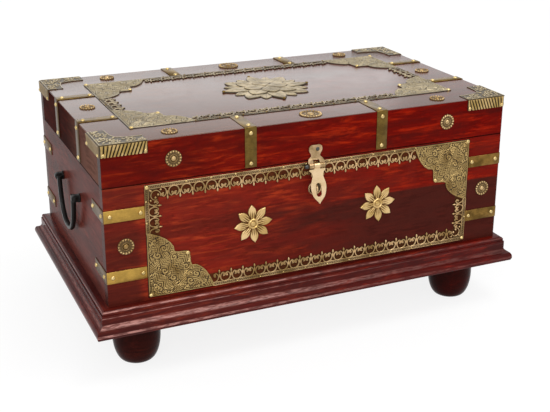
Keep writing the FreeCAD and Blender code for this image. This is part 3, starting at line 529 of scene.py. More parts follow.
def turned_form(profile, steps):
    """A form turned about Z: its profile of (radius, height), from the foot to the crown."""
    fresh()
    bpy.ops.mesh.primitive_circle_add(vertices=len(profile), fill_type="NOTHING")
    piece = bpy.context.object
    for vertex, (radius, height) in zip(piece.data.vertices, profile):
        vertex.co = (radius, 0, height)
    last = len(profile) - 1
    bpy.ops.object.mode_set(mode="EDIT")
    bpy.ops.mesh.select_all(action="DESELECT")
    bpy.ops.object.mode_set(mode="OBJECT")
    for edge in piece.data.edges:
        edge.select = set(edge.vertices) == {0, last}
    bpy.ops.object.mode_set(mode="EDIT")
    bpy.ops.mesh.select_mode(type="EDGE")
    bpy.ops.mesh.delete(type="EDGE")
    bpy.ops.mesh.select_mode(type="VERT")
    bpy.ops.mesh.select_all(action="SELECT")
    bpy.ops.mesh.spin(steps=steps, angle=2 * math.pi, center=(0, 0, 0), axis=(0, 0, 1))
    bpy.ops.mesh.select_all(action="SELECT")
    bpy.ops.mesh.remove_doubles(threshold=0.001)
    bpy.ops.mesh.normals_make_consistent(inside=False)
    bpy.ops.object.mode_set(mode="OBJECT")
    return piece


def again(piece):
    """Another piece like this one, with a mesh of its own."""
    copy = piece.copy()
    copy.data = piece.data.copy()
    bpy.context.collection.objects.link(copy)
    return copy


foot_profile = [(0, 0), (foot_flat_radius - foot_flat_ease[0], 0)]
for step in range(11):
    lean = math.pi / 2 * step / 10
    foot_profile.append((foot_flat_radius + (foot_radius - foot_flat_radius) * math.sin(lean),
                         foot_flat_ease[1] + foot_round_height * (1 - math.cos(lean))))
foot_profile += [(foot_radius - 0.3, foot_straight_height), (foot_top_radius, foot_height), (0, foot_height)]
foot_wood = lacquered("maroon_lacquer_feet", "X", (1.1, 0.2, 0.7), (0.016, 0.002, 0.001),
                      (0.040, 0.005, 0.003), (0.055, 0.008, 0.004), ior=1.12)
foot = smooth(turned_form(foot_profile, 64), 50)
feet = [foot] + [again(foot) for _ in range(3)]
for piece, (sx, sy) in zip(feet, ((-1, -1), (1, -1), (-1, 1), (1, 1))):
    hang(piece, X, Y, (sx * (half_length - foot_inset[0]) * MM, sy * (half_depth - foot_inset[1]) * MM, 0))
seat("turned_feet", "case", "dark_lacquered_wood", foot_wood, feet, "feet")


# Bent straps of 15 mm sheet brass: two round each upright corner of the case and two over
# each edge of the lid. They are rounded where they bend and nailed through both legs.


def on_left_end(place):
    """A mask of what is laid on the left end, which stands in shade."""
    return place.part(0).ramp(0.0001 - board_end, -0.0002 - board_end)


def rolled_brass(name, colour, streak_colour, roughness, right_shade=None, left_end=None):
    """Plain sheet with fine rolling marks and duller patches.

    The right shade is a darker tone painted towards the right as shade, and left_end its tone on the shaded
    left end.
    """
    material, shader, place = new_finish(name)
    mark = place.stretched((260.0, 260.0, 900.0)).noise(1.0, 3.0, 0.6)
    patch = place.noise(60.0, 4.0, 0.6)
    tone = (patch * 0.7 + mark * 0.3).ramp(0.35, 0.65)
    shade = tone.tinted(streak_colour, colour)
    metal = 1.0
    # Painted shade: the sheet darkens towards the right.
    if right_shade:
        shade = place.part(0).ramp(-0.2, 0.25).tinted(shade, tone.tinted([c * 0.4 for c in right_shade], right_shade))
    if left_end:
        at_left = on_left_end(place)
        shade = at_left.tinted(shade, left_end)
        metal = 1.0 - at_left * 0.8
    dress(shader, base_color=shade, metallic=metal, roughness=roughness + patch * 0.15,
          normal=mark.bump(0.08, 0.0003), ior=1.2)
    return material


faces = {
    "front": (Vector((0, -half_depth * MM, case_bottom)), X, Z),
    "back": (Vector((0, half_depth * MM, case_bottom)), -X, Z),
    "left": (Vector((-half_length * MM, 0, case_bottom)), -Y, Z),
    "right": (Vector((half_length * MM, 0, case_bottom)), Y, Z),
    "top": (Vector((0, 0, lid_top)), X, Y),
}
strap_brass = rolled_brass("strap_brass", (0.56, 0.34, 0.075), (0.36, 0.22, 0.05), 0.26,
                           right_shade=(0.27, 0.155, 0.04), left_end=(0.12, 0.078, 0.042))
lid_strap_brass = rolled_brass("lid_strap_brass", (0.20, 0.125, 0.032), (0.10, 0.06, 0.017), 0.3,
                               left_end=(0.095, 0.060, 0.030))
strap_width = 15.0
strap_thickness = 1.0
strap_bend = 1.5
strap_lace_gap = 0.4


def bent_strap(first_leg, second_leg):
    """A strap over a corner at the origin: one leg back along X, the other down along Y."""
    t = strap_thickness
    inside = t - strap_bend
    middle = inside + strap_bend * math.sqrt(1 / 2)
    section = [(-first_leg, 0), (0, 0), (0, -second_leg), (t, -second_leg)]
    section += bow((t, inside), (middle, middle), (inside, t), 4) + [(-first_leg, t)]
    piece = cut_blank(section, strap_width)
    piece.data.transform(Matrix.Translation((0, 0, -strap_width / 2)))
    return ease_edges(piece, 0.22, 1, 50)


lace_outer = -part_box("case_lace_left")[0].x / MM
corner_leg = half_length - lace_outer - strap_lace_gap
low_strap, high_strap = 36.75, 112.75
for corner, (sx, sy), out in (("front_left", (-1, -1), -X), ("front_right", (1, -1), -Y),
                              ("back_right", (1, 1), X), ("back_left", (-1, 1), Y)):
    pair = []
    for height in (low_strap, high_strap):
        spot = (sx * half_length * MM, sy * half_depth * MM, case_bottom + height * MM)
        pair.append(hang(bent_strap(corner_leg, corner_leg), out, Z.cross(out), spot))
    seat("corner_straps_" + corner, "case", "sheet_brass", strap_brass, pair, "corner_straps_" + corner)

lid_face_top = (lid_top - case_bottom) / MM
lid_strap_leg = corner_leg
lid_strap_drop = 49.5
long_spread, end_spread = 88.56, 56.0
strap_spreads = {"front": long_spread, "back": long_spread, "left": end_spread, "right": end_spread}
for side, spread in strap_spreads.items():
    pair = []
    origin, across, upward = faces[side]
    for sign in (-1, 1):
        spot = origin + across * sign * spread * MM + upward * lid_face_top * MM
        outward = across.cross(upward)
        pair.append(hang(bent_strap(lid_strap_leg, lid_strap_drop), outward, Z, spot))
    seat("lid_straps_of_the_" + side, "lid", "sheet_brass", lid_strap_brass, pair, "lid_straps_" + side)


# Small nails with turned, domed heads of bright brass. They are driven into the wood through
# every strap, lace corner and filigree tip.

nail_radius = 2.8
nail_rise = 1.9
nail_from_bend, nail_from_end = 7.0, 5.0
nail_brass = rolled_brass("nail_brass", (0.72, 0.55, 0.25), (0.50, 0.36, 0.14), 0.2)


def note_heights(piece):
    """Notes on each point of a piece how high it stands, for the brown in the grooves."""
    heights = piece.data.attributes.new("height", "FLOAT", "POINT")
    for note, vertex in zip(heights.data, piece.data.vertices):
        note.value = vertex.co.z


def lay(piece, side, right=0, up=0, turn=0):
    """Lays a relief piece on a face of the chest."""
    if "height" not in piece.data.attributes:
        note_heights(piece)
    piece.data.transform(Matrix.Rotation(math.radians(turn), 4, "Z"))
    origin, across, along = faces[side]
    return hang(piece, across, along, origin + across * right * MM + along * up * MM)


def dome(radius, rise, base, sides=14):
    """A low dome standing on a base height."""
    profile = [(0, base - 0.3), (radius, base - 0.3), (radius, base + 0.1 * rise),
               (radius * 0.8, base + 0.6 * rise), (radius * 0.45, base + 0.9 * rise), (0, base + rise)]
    return turned_form(profile, sides)


def spread_out(pattern, spots):
    """Lays a copy of a pattern at each spot (side, right, up, turn), then clears the pattern away."""
    laid = [lay(again(pattern), *spot) for spot in spots]
    bpy.data.objects.remove(pattern)
    return laid


strap_nails = []
halves = {"front": half_length, "back": half_length, "left": half_depth, "right": half_depth}
for side, half in halves.items():
    for height in (low_strap, high_strap):
        for place in (half - nail_from_bend, half - corner_leg + nail_from_end):
            strap_nails += [(side, sign * place, height) for sign in (-1, 1)]
frame_low, frame_high = 3.0, 145.0
filigree_leg = 82.0
filigree_tip = filigree_leg * 0.61
lid_lace_half_depth = 111.0
border_nails = [("front", sx * (lace_outer - nail_radius), up)
                for sx in (-1, 1) for up in (frame_low + nail_radius, frame_high - nail_radius)]
border_nails += [("front", filigree_tip - lace_outer, frame_low + filigree_tip),
                 ("front", lace_outer - filigree_tip, frame_high - filigree_tip)]
nail = smooth(dome(nail_radius, nail_rise, strap_thickness), 60)
seat("case_nail_heads", "case", "sheet_brass", nail_brass, spread_out(nail, strap_nails + border_nails),
     "case_nails")

lid_nail_spots = []
for side, spread in strap_spreads.items():
    for height in (lid_face_top - nail_from_bend, lid_face_top - lid_strap_drop + nail_from_end):
        lid_nail_spots += [(side, sign * spread, height) for sign in (-1, 1)]
for sign in (-1, 1):
    for other in (-1, 1):
        for inset in (nail_from_bend, lid_strap_leg - nail_from_end):
            lid_nail_spots.append(("top", other * (half_length - inset), sign * end_spread))
            lid_nail_spots.append(("top", sign * long_spread, other * (half_depth - inset)))
        for inset in (nail_radius, filigree_tip):
            lid_nail_spots.append(("top", sign * (lace_outer - inset), other * (lid_lace_half_depth - inset)))
nail = smooth(dome(nail_radius, nail_rise, strap_thickness), 60)
seat("lid_nail_heads", "lid", "sheet_brass", nail_brass, spread_out(nail, lid_nail_spots), "lid_nails")


# The lid's corner caps are pressed in one piece from sheet brass: a scrolled flange on the top
# and a skirt of slanting ribs on both faces, nailed at the skirt's lower corners.

cap_leg = 55.5
cap_flange = 20.0
flange_sheet = 0.7
flange_lap = 0.9
flange_half = [(0.0, 0.0), (0.16, 0.0), (0.55, 0.03), (0.86, 0.13)]
rim_inset, rim_short, rim_wire = 0.4, 0.8, 0.7
edge_wire = 0.6
scroll_lift, scroll_wire, scroll_steps = 0.8, 0.7, 16
scroll_leaf, scroll_leaf_out, scroll_leaf_lean = (4.4, 1.9), 2.3, 55
scroll_leafy_share = 0.72
scroll_bud, scroll_bud_rise = 2.6, 1.2
skirt_height = 14.0
skirt_ribs = 13
rib_rise = 1.5
rib_lean = 5.5
cap_nail_size = (2.3, 1.5, 1.5)
cap_nail_insets = (3.2, cap_leg - 2.8)
cap_nail_up = 2.6


def pressed_brass(name, groove_tone, middle, crest, low, high, wear_and_highlight=(0.35, 0.65), bare=0.55,
                  left_end=None):
    """Brass that is brown below one height of relief and bright above another, in millimetres.

    Worn is the range of the blotches in which the crests are rubbed bright, and bare the share of
    the metal that shows through its old polish; left_end is its tone on the shaded left end.
    """
    material, shader, place = new_finish(name)
    height = place.node("ShaderNodeAttribute", {"attribute_name": "height"}, {}, 2)
    wear = place.noise(420.0, 3.0, 0.6)
    blotch = place.noise(45.0, 3.0, 0.6)
    proud = (height + (wear - 0.5) * 0.5).ramp(low, high)
    colour = proud.tinted(groove_tone, middle)
    colour = (proud * blotch.ramp(*wear_and_highlight)).tinted(colour, crest)
    metal = bare + proud * 0.4
    if left_end:
        at_left = on_left_end(place)
        colour = (at_left * 0.8).tinted(colour, left_end)
        metal = metal * (1.0 - at_left * 0.75)
    dress(shader, base_color=colour, metallic=metal, roughness=0.48 - proud * 0.14,
          normal=wear.bump(0.15, 0.0004))
    return material


cap_brass = pressed_brass("cap_brass", (0.022, 0.012, 0.004), (0.40, 0.27, 0.085), (0.70, 0.50, 0.24),
                          0.95, 1.75, left_end=(0.13, 0.090, 0.045))
# The flanges on the lid take a greyer brass than the skirts: partly a painted sheen.
flange_brass = pressed_brass("flange_brass", (0.05, 0.034, 0.014), (0.30, 0.235, 0.135),
                             (0.42, 0.345, 0.21), 0.7, 1.3, bare=0.15)


def groove(distance, width):
    """How deep a rounded groove is at a distance from its middle, from one to zero."""
    return max(0.0, 1 - (distance / width) ** 2)


def bell(distance, width):
    """A soft ridge, one at its middle."""
    return math.exp(-((distance / width) ** 2))


def raised_sheet(columns, rows, spot):
    """A closed sheet with relief: spot gives place and height for the shares of both ways."""
    fresh()
    bpy.ops.mesh.primitive_grid_add(x_subdivisions=columns, y_subdivisions=rows, size=1)
    piece = bpy.context.object
    for vertex in piece.data.vertices:
        vertex.co = spot(vertex.co.x + 0.5, vertex.co.y + 0.5)
    bpy.ops.object.mode_set(mode="EDIT")
    bpy.ops.mesh.select_all(action="SELECT")
    bpy.ops.mesh.remove_doubles(threshold=0.0001)
    bpy.ops.mesh.extrude_region_move(TRANSFORM_OT_translate={"value": (0, 0, -20)})
    bpy.ops.object.mode_set(mode="OBJECT")
    for vertex in piece.data.vertices:
        vertex.co.z = max(0, vertex.co.z)
    for face in piece.data.polygons:
        face.select = face.center.z < 0.001
    bpy.ops.object.mode_set(mode="EDIT")
    bpy.ops.mesh.select_mode(type="FACE")
    bpy.ops.mesh.dissolve_faces()
    bpy.ops.mesh.select_all(action="SELECT")
    bpy.ops.mesh.normals_make_consistent(inside=False)
    bpy.ops.mesh.select_mode(type="VERT")
    bpy.ops.object.mode_set(mode="OBJECT")
    return piece


def skirt_spot(along, up):
    """Rounded ribs that stand upright at the corner and lean away from it further along."""
    lean = rib_lean * min(1, along / 0.3) * min(1, (1 - along) / 0.12)
    rib = abs(math.sin(math.pi * along * skirt_ribs))
    edge = 0.5 * bell(up - 1, 0.12)
    return (along * cap_leg + lean * (up - 0.5), up * skirt_height, 0.45 + rib_rise * rib + edge)


def wire_along(points, radius):
    """A bead of metal along a line of points."""
    fresh()
    bpy.ops.curve.primitive_nurbs_path_add()
    run = bpy.context.object
    run.data.splines.clear()
    spline = run.data.splines.new("POLY")
    spline.points.add(len(points) - 1)
    for place, spot in zip(spline.points, points):
        place.co = (*spot, 1)
    run.data.bevel_depth = radius
    run.data.bevel_resolution = 1
    run.data.use_fill_caps = True
    bpy.ops.object.convert(target="MESH")
    return bpy.context.object


def curl(centre, start_radius, end_radius, start_turn, sweep):
    """Points of a scroll that winds in to its centre, turns in degrees."""
    points = []
    for step in range(scroll_steps + 1):
        share = step / scroll_steps
        angle = math.radians(start_turn + sweep * share)
        radius = start_radius + (end_radius - start_radius) * share
        points.append((centre[0] + radius * math.cos(angle), centre[1] + radius * math.sin(angle),
                       scroll_lift))
    return points


def small_leaf(spot, turn, length, width, rise=0.9, base=0.8):
    """A raised leaf of the scrollwork, turned in degrees."""
    piece = dome(1, rise, base, 8)
    piece.data.transform(Matrix.Translation((*spot, 0)) @ Matrix.Rotation(math.radians(turn), 4, "Z")
                         @ Matrix.Diagonal((length / 2, width / 2, 1, 1)))
    return piece


def leafy_curl(centre, start_radius, end_radius, start_turn, sweep, leaves):
    """A scroll with a row of leaves on its outer side and a bud at its heart."""
    points = curl(centre, start_radius, end_radius, start_turn, sweep)
    parts = [wire_along(points, scroll_wire)]
    way = 1 if sweep > 0 else -1
    for leaf in range(leaves):
        share = (leaf + 0.5) / leaves * scroll_leafy_share
        turn = start_turn + sweep * share
        reach = start_radius + (end_radius - start_radius) * share + scroll_leaf_out
        aim = math.radians(turn)
        spot = (centre[0] + reach * math.cos(aim), centre[1] + reach * math.sin(aim))
        parts.append(small_leaf(spot, turn + way * scroll_leaf_lean, *scroll_leaf))
    parts.append(small_leaf(points[-1][:2], 0, scroll_bud, scroll_bud, scroll_bud_rise))
    return parts


def flipped(piece, mirror):
    """The mirror image of a piece, by the matrix of its mirror."""
    copy = again(piece)
    copy.data.transform(mirror)
    copy.data.flip_normals()
    return copy


def through(points, steps):
    """A smooth run through points, both ends kept."""
    held = [points[0]] + list(points) + [points[-1]]
    run = []
    for corners in zip(held, held[1:], held[2:], held[3:]):
        for step in range(steps):
            t = step / steps
            run.append(tuple(0.5 * (2 * q + (r - p) * t + (2 * p - 5 * q + 4 * r - s) * t * t
                                    + (3 * q - p - 3 * r + s) * t**3) for p, q, r, s in zip(*corners)))
    return run + [points[-1]]


DIAGONAL = Matrix(((0, 1, 0, 0), (1, 0, 0, 0), (0, 0, 1, 0), (0, 0, 0, 1)))
LEFT_RIGHT = Matrix.Diagonal((-1, 1, 1, 1))

flange_span = cap_leg - cap_flange
flange_curve = [(cap_leg - flange_span * back, cap_flange + flange_span * out) for back, out in flange_half]
flange_curve = flange_curve + [(y, x) for x, y in reversed(flange_curve)]
flange_curve = through(flange_curve, 3)
flange_outline = [(-flange_lap, -flange_lap), (cap_leg, -flange_lap)] + flange_curve
flange_outline += [(-flange_lap, cap_leg)]
flange_parts = [cut_blank(flange_outline, flange_sheet)]
flange_rim = [(cap_leg - rim_short, rim_inset), (rim_inset, rim_inset), (rim_inset, cap_leg - rim_short)]
flange_parts.append(wire_along([(x, y, flange_sheet) for x, y in flange_rim], rim_wire))
flange_edge = [(x - edge_wire, y - edge_wire, flange_sheet) for x, y in flange_curve]
flange_parts.append(wire_along(flange_edge, edge_wire))
half_scrolls = leafy_curl((19, 8.5), 6.2, 1.5, 200, 420, 7) + leafy_curl((37, 9.5), 6.6, 1.5, 160, -430, 7)
half_scrolls += leafy_curl((50, 7), 3.4, 1.0, 180, 380, 3)
half_scroll = joined(half_scrolls)
flange_parts += [flipped(half_scroll, DIAGONAL), half_scroll]
for step in range(4):
    flange_parts.append(small_leaf((7 + 5 * step, 7 + 5 * step), 45, 6, 2.6, 1.0))
flange = smooth(joined(flange_parts), 50)
skirt = smooth(raised_sheet(skirt_ribs * 10, 6, skirt_spot), 70)
cap_nail = smooth(dome(*cap_nail_size), 60)
outward = {"front": 1, "back": -1, "left": -1, "right": 1}
for name, (sx, sy), turn in (("front_left", (-1, -1), 0), ("front_right", (1, -1), 90),
                             ("back_right", (1, 1), 180), ("back_left", (-1, 1), 270)):
    top_part = lay(again(flange), "top", sx * half_length, sy * half_depth, turn)
    seat("cap_flange_" + name, "lid", "sheet_brass", flange_brass, [top_part])
    long_side = "front" if sy < 0 else "back"
    end_side = "left" if sx < 0 else "right"
    skirt_foot = lid_face_top - skirt_height
    skirts, nails = [], []
    for side, half, way in ((long_side, half_length, sx * outward[long_side]),
                            (end_side, half_depth, sy * outward[end_side])):
        sheet = again(skirt) if way < 0 else flipped(skirt, LEFT_RIGHT)
        skirts.append(lay(sheet, side, way * half, skirt_foot))
        for inset in cap_nail_insets:
            nails.append(lay(again(cap_nail), side, way * (half - inset), skirt_foot + cap_nail_up))
    seat("cap_skirt_" + name, "lid", "sheet_brass", cap_brass, skirts, "corner_cap_" + name)
    seat("cap_nails_" + name, "lid", "sheet_brass", nail_brass, nails)
for pattern in (flange, skirt, cap_nail):
    bpy.data.objects.remove(pattern)


# The lace borders are strips of pierced sheet brass: a ridged band with a horseshoe, two curls
# and a hanging drop in every repeat, held by small pins along the band.

lace_pitch = 15.45
lace_sheet = 0.7
band_width = 5.0
band_edges = (0.55, band_width - 0.5)
band_lift, band_wire = 0.75, 0.6
twist_low, twist_high, twist_wire = 1.5, 3.6, 0.45
twist_count = 6
ring_radius = 6.3
ring_centre = 10.6
ring_sweep = 152
ring_wire = 0.85
heart_out, heart_up, heart_radius = 2.3, 2.9, 1.8
drop_low, drop_high = 12.5, 17.6
corner_square = 20.0
corner_ring_centre, corner_ring_radius = 13.4, 5.9
corner_band_wire, corner_twist_wire, corner_ring_wire = 0.55, 0.38, 0.72
lace_brass = pressed_brass("lace_brass", (0.070, 0.040, 0.012), (0.31, 0.19, 0.068), (0.64, 0.44, 0.23),
                           0.65, 1.25)
# The lid's lace takes a darker, greyer brass than the case's; its greyness is partly a painted sheen.
lid_lace_brass = pressed_brass("lid_lace_brass", (0.030, 0.020, 0.010), (0.155, 0.112, 0.058),
                               (0.36, 0.28, 0.165), 0.8, 1.5, bare=0.3)


def twist_from(x):
    """The two ends of a slanting ridge across the band."""
    return [(x + 0.4, twist_low, band_lift), (x + 2.1, twist_high, band_lift)]


def lace_pattern():
    """One repeat of the lace, its band along X from zero to one pitch."""
    middle = lace_pitch / 2
    band = [(0, 0), (lace_pitch, 0), (lace_pitch, band_width), (0, band_width)]
    parts = [cut_blank(band, lace_sheet)]
    for y in band_edges:
        parts.append(wire_along([(0, y, band_lift), (lace_pitch, y, band_lift)], band_wire))
    for twist in range(twist_count):
        parts.append(wire_along(twist_from(lace_pitch * twist / twist_count), twist_wire))
    for way in (-1, 1):
        start = 0 if way > 0 else lace_pitch
        arc = []
        for step in range(13):
            angle = math.radians(-90 + ring_sweep * step / 12)
            arc.append((start + way * ring_radius * math.cos(angle),
                        ring_centre + ring_radius * math.sin(angle), ring_wire))
        heart = (start + way * heart_out, ring_centre + heart_up)
        for step in range(1, 8):
            angle = math.radians(48 + 36 * step)
            arc.append((heart[0] + way * heart_radius * math.cos(angle),
                        heart[1] + heart_radius * math.sin(angle), ring_wire))
        parts.append(wire_along(arc, ring_wire))
        parts.append(small_leaf(heart, 0, 2.2, 2.2, 1.4, 0.5))
    parts.append(small_leaf((middle, drop_low), 90, 7.0, 2.6, 1.0, 0.5))
    parts.append(small_leaf((middle, drop_high), 90, 5.6, 2.7, 1.5, 0.5))
    return smooth(joined(parts), 50)


def lace_run(side, start, turn, length, repeats, spots):
    """Spots of the repeats of one strip that starts at a point and runs along a turn."""
    pitch = length / repeats
    along = (math.cos(math.radians(turn)), math.sin(math.radians(turn)))
    for k in range(repeats):
        spots.append((side, start[0] + along[0] * k * pitch, start[1] + along[1] * k * pitch, turn,
                      pitch / lace_pitch))


def lay_lace(name, body, brass, pin_brass, spots, nodes):
    """Lays repeats of the lace and pins every second one."""
    laid, pins = [], []
    for number, (side, right, up, turn, stretch) in enumerate(spots):
        copy = again(lace_unit)
        copy.data.transform(Matrix.Diagonal((stretch, 1, 1, 1)))
        laid.append(lay(copy, side, right, up, turn))
        if number % 2 == 0:
            pins.append(lay(again(lace_pin), side, right, up, turn))
    seat(name, body, "sheet_brass", brass, laid, *nodes)
    seat(name + "_pins", body, "sheet_brass", pin_brass, pins)


lace_unit = lace_pattern()
lace_pin = smooth(small_leaf((0.2, 1.3), 0, 2.6, 2.6, 1.2, 1.0), 60)
long_run = 2 * lace_outer - filigree_leg - corner_square
short_run = frame_high - frame_low - filigree_leg - corner_square
front_lace = []
lace_run("front", (filigree_leg - lace_outer, frame_low), 0, long_run, 22, front_lace)
lace_run("front", (lace_outer - filigree_leg, frame_high), 180, long_run, 22, front_lace)
lace_run("front", (-lace_outer, frame_high - corner_square), 270, short_run, 3, front_lace)
lace_run("front", (lace_outer, frame_low + corner_square), 90, short_run, 3, front_lace)
lay_lace("case_lace", "case", lace_brass, nail_brass, front_lace,
         ("case_lace_bottom", "case_lace_top", "case_lace_left", "case_lace_right"))
lid_lace = []
lid_long = 2 * (lace_outer - filigree_leg)
lid_short = 2 * (lid_lace_half_depth - filigree_leg)
for turn, start, length, repeats in (
    (0, (filigree_leg - lace_outer, -lid_lace_half_depth), lid_long, 18),
    (90, (lace_outer, filigree_leg - lid_lace_half_depth), lid_short, 4),
    (180, (lace_outer - filigree_leg, lid_lace_half_depth), lid_long, 18),
    (270, (-lace_outer, lid_lace_half_depth - filigree_leg), lid_short, 4),
):
    lace_run("top", start, turn, length, repeats, lid_lace)
lay_lace("lid_lace", "lid", lid_lace_brass, lid_strap_brass, lid_lace,
         ("lid_lace_front", "lid_lace_back", "lid_lace_left", "lid_lace_right"))

corner_parts = [cut_blank([(0, 0), (corner_square, 0), (corner_square, band_width), (9, 7), (7, 9),
                           (band_width, corner_square), (0, corner_square)], lace_sheet)]
for inset in band_edges:
    corner_parts.append(wire_along([(corner_square, inset, band_lift), (inset, inset, band_lift),
                                    (inset, corner_square, band_lift)], corner_band_wire))
for step in range(twist_count):
    x = corner_square * (step + 0.9) / 7
    corner_parts.append(wire_along(twist_from(x), corner_twist_wire))
    corner_parts.append(wire_along([(twist_low, x + 2.1, band_lift), (twist_high, x + 0.4, band_lift)],
                                   corner_twist_wire))
corner_ring = curl((corner_ring_centre, corner_ring_centre), corner_ring_radius, corner_ring_radius, 75, 300)
corner_parts.append(wire_along(corner_ring, corner_ring_wire))
for sx in (-1, 1):
    corner_parts.append(small_leaf((14.8 + sx * 1.7, 14.8 - sx * 1.7), 0, 3.3, 3.3, 1.3, 0.5))
    corner_parts.append(small_leaf((corner_ring_centre + sx * 6.2, corner_ring_centre - sx * 6.2), 45,
                                   3.0, 3.0, 1.3, 0.5))
corner_parts.append(small_leaf((7.6, 7.6), 45, 5.0, 2.6, 1.2, 0.5))
lace_corner = smooth(joined(corner_parts), 50)
seat("case_lace_corners", "case", "sheet_brass", lace_brass,
     spread_out(lace_corner, [("front", -lace_outer, frame_high, 270), ("front", lace_outer, frame_low, 90)]))
for pattern in (lace_unit, lace_pin):
    bpy.data.objects.remove(pattern)


# Filigree corner plates of sheet brass are pressed all over with small scrolls and veined
# leaves and are brown in the creases. Each is nailed at its corner and at its inner tip. Two
# stand on the case front and four on the lid, paler and greyer there, partly by a painted sheen.

filigree_brass = pressed_brass("filigree_brass", (0.024, 0.010, 0.002), (0.235, 0.138, 0.038),
                               (0.44, 0.305, 0.12), 0.85, 1.45, wear_and_highlight=(0.2, 0.6))
# The lid's plates take a paler, greyer brass than the case's: partly a painted sheen.
lid_filigree_brass = pressed_brass("lid_filigree_brass", (0.030, 0.022, 0.012), (0.225, 0.178, 0.105),
                                   (0.35, 0.285, 0.175), 0.8, 1.5, wear_and_highlight=(0.2, 0.6), bare=0.15)
filigree_edge = [(1.0, 0.0), (1.0, 0.061), (0.941, 0.194), (0.888, 0.282), (0.820, 0.356), (0.752, 0.400),
                 (0.671, 0.413), (0.655, 0.465), (0.650, 0.546), (0.646, 0.610), (0.628, 0.628)]
filigree_edge = [(filigree_leg * a, filigree_leg * b) for a, b in filigree_edge]
plain_edge = 0.7
filigree_grid = (186, 122)
scrolls = [(14, 8, 3.2, 1), (33, 20, 4.2, -1), (52, 12, 4.0, 1), (70, 9, 3.0, -1), (47, 33, 3.8, 1),
           (62, 22, 3.2, -1), (28, 6.5, 2.6, 1), (52, 49, 2.6, 1)]
leaves = [(22, 14, 5.5, 35), (40, 10, 5.5, 10), (43, 22, 5.5, 60), (60, 12, 5.0, -20),
          (57, 30, 4.5, 40), (52, 42, 4.5, 75), (33, 29, 5.0, 45), (62, 4.5, 3.0, 0),
          (77, 6, 3.5, -10), (47, 5, 3.0, 5), (20, 4.5, 3.0, 5), (7, 4, 3.0, 45),
          (41, 37, 4.5, 45), (70, 19, 4.0, -50), (33, 13, 3.5, 80), (53, 21, 3.5, 15)]
growth = [(x, y, size, way, 0) for x, y, size, way in scrolls]
growth += [(x, y, size, 0, turn) for x, y, size, turn in leaves]


def filigree_reach(turn):
    """How far the plate reaches from its corner at a turn of 0 to 45 degrees, in radians."""
    for (ax, ay), (bx, by) in zip(filigree_edge, filigree_edge[1:]):
        cross = (bx - ax) * math.sin(turn) - (by - ay) * math.cos(turn)
        if math.atan2(ay, ax) <= turn <= math.atan2(by, bx) + 1e-9 and abs(cross) > 1e-9:
            return ((bx - ax) * ay - (by - ay) * ax) / cross
    return math.hypot(*filigree_edge[-1])


def scrollwork(x, y):
    """Scrolls that wind to their hearts among leaves with slanting veins, divided by creases."""
    x, y = x + 1.2 * math.sin(y * 0.33 + 1), y + 1.2 * math.sin(x * 0.29 + 2)
    near = sorted((math.hypot(x - spot[0], y - spot[1]) / spot[2], spot) for spot in growth)
    share, (cx, cy, size, way, turn) = near[0]
    if way:
        angle = math.atan2(y - cy, x - cx) * way / (2 * math.pi)
        inner = share * size / 3.2 - angle
        outer = round(size * 2.0) * (angle + (share - 1) * 0.16)
        phase = inner if share < 1.2 else outer
    else:
        lean = math.radians(turn)
        along = (x - cx) * math.cos(lean) + (y - cy) * math.sin(lean)
        across = (y - cy) * math.cos(lean) - (x - cx) * math.sin(lean) - 0.02 * along * along
        phase = (along - 1.3 * abs(across)) / 3.3
    ridge = abs(math.sin(math.pi * phase))
    return 0.5 + 1.25 * min(ridge, (near[1][0] - share) * min(size, near[1][1][2]) / 0.9 + 0.1)


def filigree_spot(round_share, out_share):
    """The plate as a fan from its corner, both wings alike, with a rolled edge all round."""
    turn = round_share * math.pi / 2
    folded = min(turn, math.pi / 2 - turn)
    reach = filigree_reach(folded)
    radius = reach * out_share
    x, y = radius * math.cos(folded), radius * math.sin(folded)
    rim = (reach - radius) * (0.75 if folded > 0.07 else 1)
    height = scrollwork(x, y) if y > 2.4 else 0.5
    height = max(height, 1.5 * bell(y - 1.3, 1.0), 1.5 * bell(rim - 0.7, 0.7))
    if out_share == 1 or y < 0.01:
        height = plain_edge
    return (radius * math.cos(turn), radius * math.sin(turn), height)


filigree = smooth(raised_sheet(*filigree_grid, filigree_spot), 70)
low_left = ("front", -lace_outer, frame_low, 0)
high_right = ("front", lace_outer, frame_high, 180)
lid_corners = [("top", sx * lace_outer, sy * lid_lace_half_depth, turn)
               for sx, sy, turn in ((-1, -1, 0), (1, -1, 90), (1, 1, 180), (-1, 1, 270))]
lid_filigree = [lay(again(filigree), *spot) for spot in lid_corners]
seat("lid_filigree", "lid", "sheet_brass", lid_filigree_brass, lid_filigree, "lid_filigree_corners")
seat("case_filigree_low", "case", "sheet_brass", filigree_brass, [lay(again(filigree), *low_left)],
     "case_filigree_lower_left")
seat("case_filigree_high", "case", "sheet_brass", filigree_brass, [lay(filigree, *high_right)],
     "case_filigree_upper_right")


# Flowers pressed from brighter brass: eight pointed petals with veins at their roots, round a
# ringed boss that hides the nail.

flower_radius = 25.5
flower_root = 4.0
flower_place = (86.1, 76.0)
petal_count, petal_half_width, petal_belly, petal_point = 8, 5.5, 0.61, 1.15
boss_profile = [(0, 0), (7.4, 0), (7.4, 0.7), (6.6, 1.9), (5.6, 2.6), (4.6, 2.1), (4.0, 1.2), (3.3, 1.2),
                (2.8, 1.8), (1.9, 2.4), (1.0, 2.2), (0, 1.9)]
flower_brass = pressed_brass("flower_brass", (0.17, 0.080, 0.016), (0.50, 0.325, 0.11),
                             (0.76, 0.535, 0.26), 0.85, 1.7)


def petal_half(radius, length, width, belly, point):
    """Half the width of a petal at a radius: widest at its belly's share, drawn out to a point."""
    share = min(1, radius / length)
    return width * math.sin(math.pi * share ** (math.log(0.5) / math.log(belly))) ** point


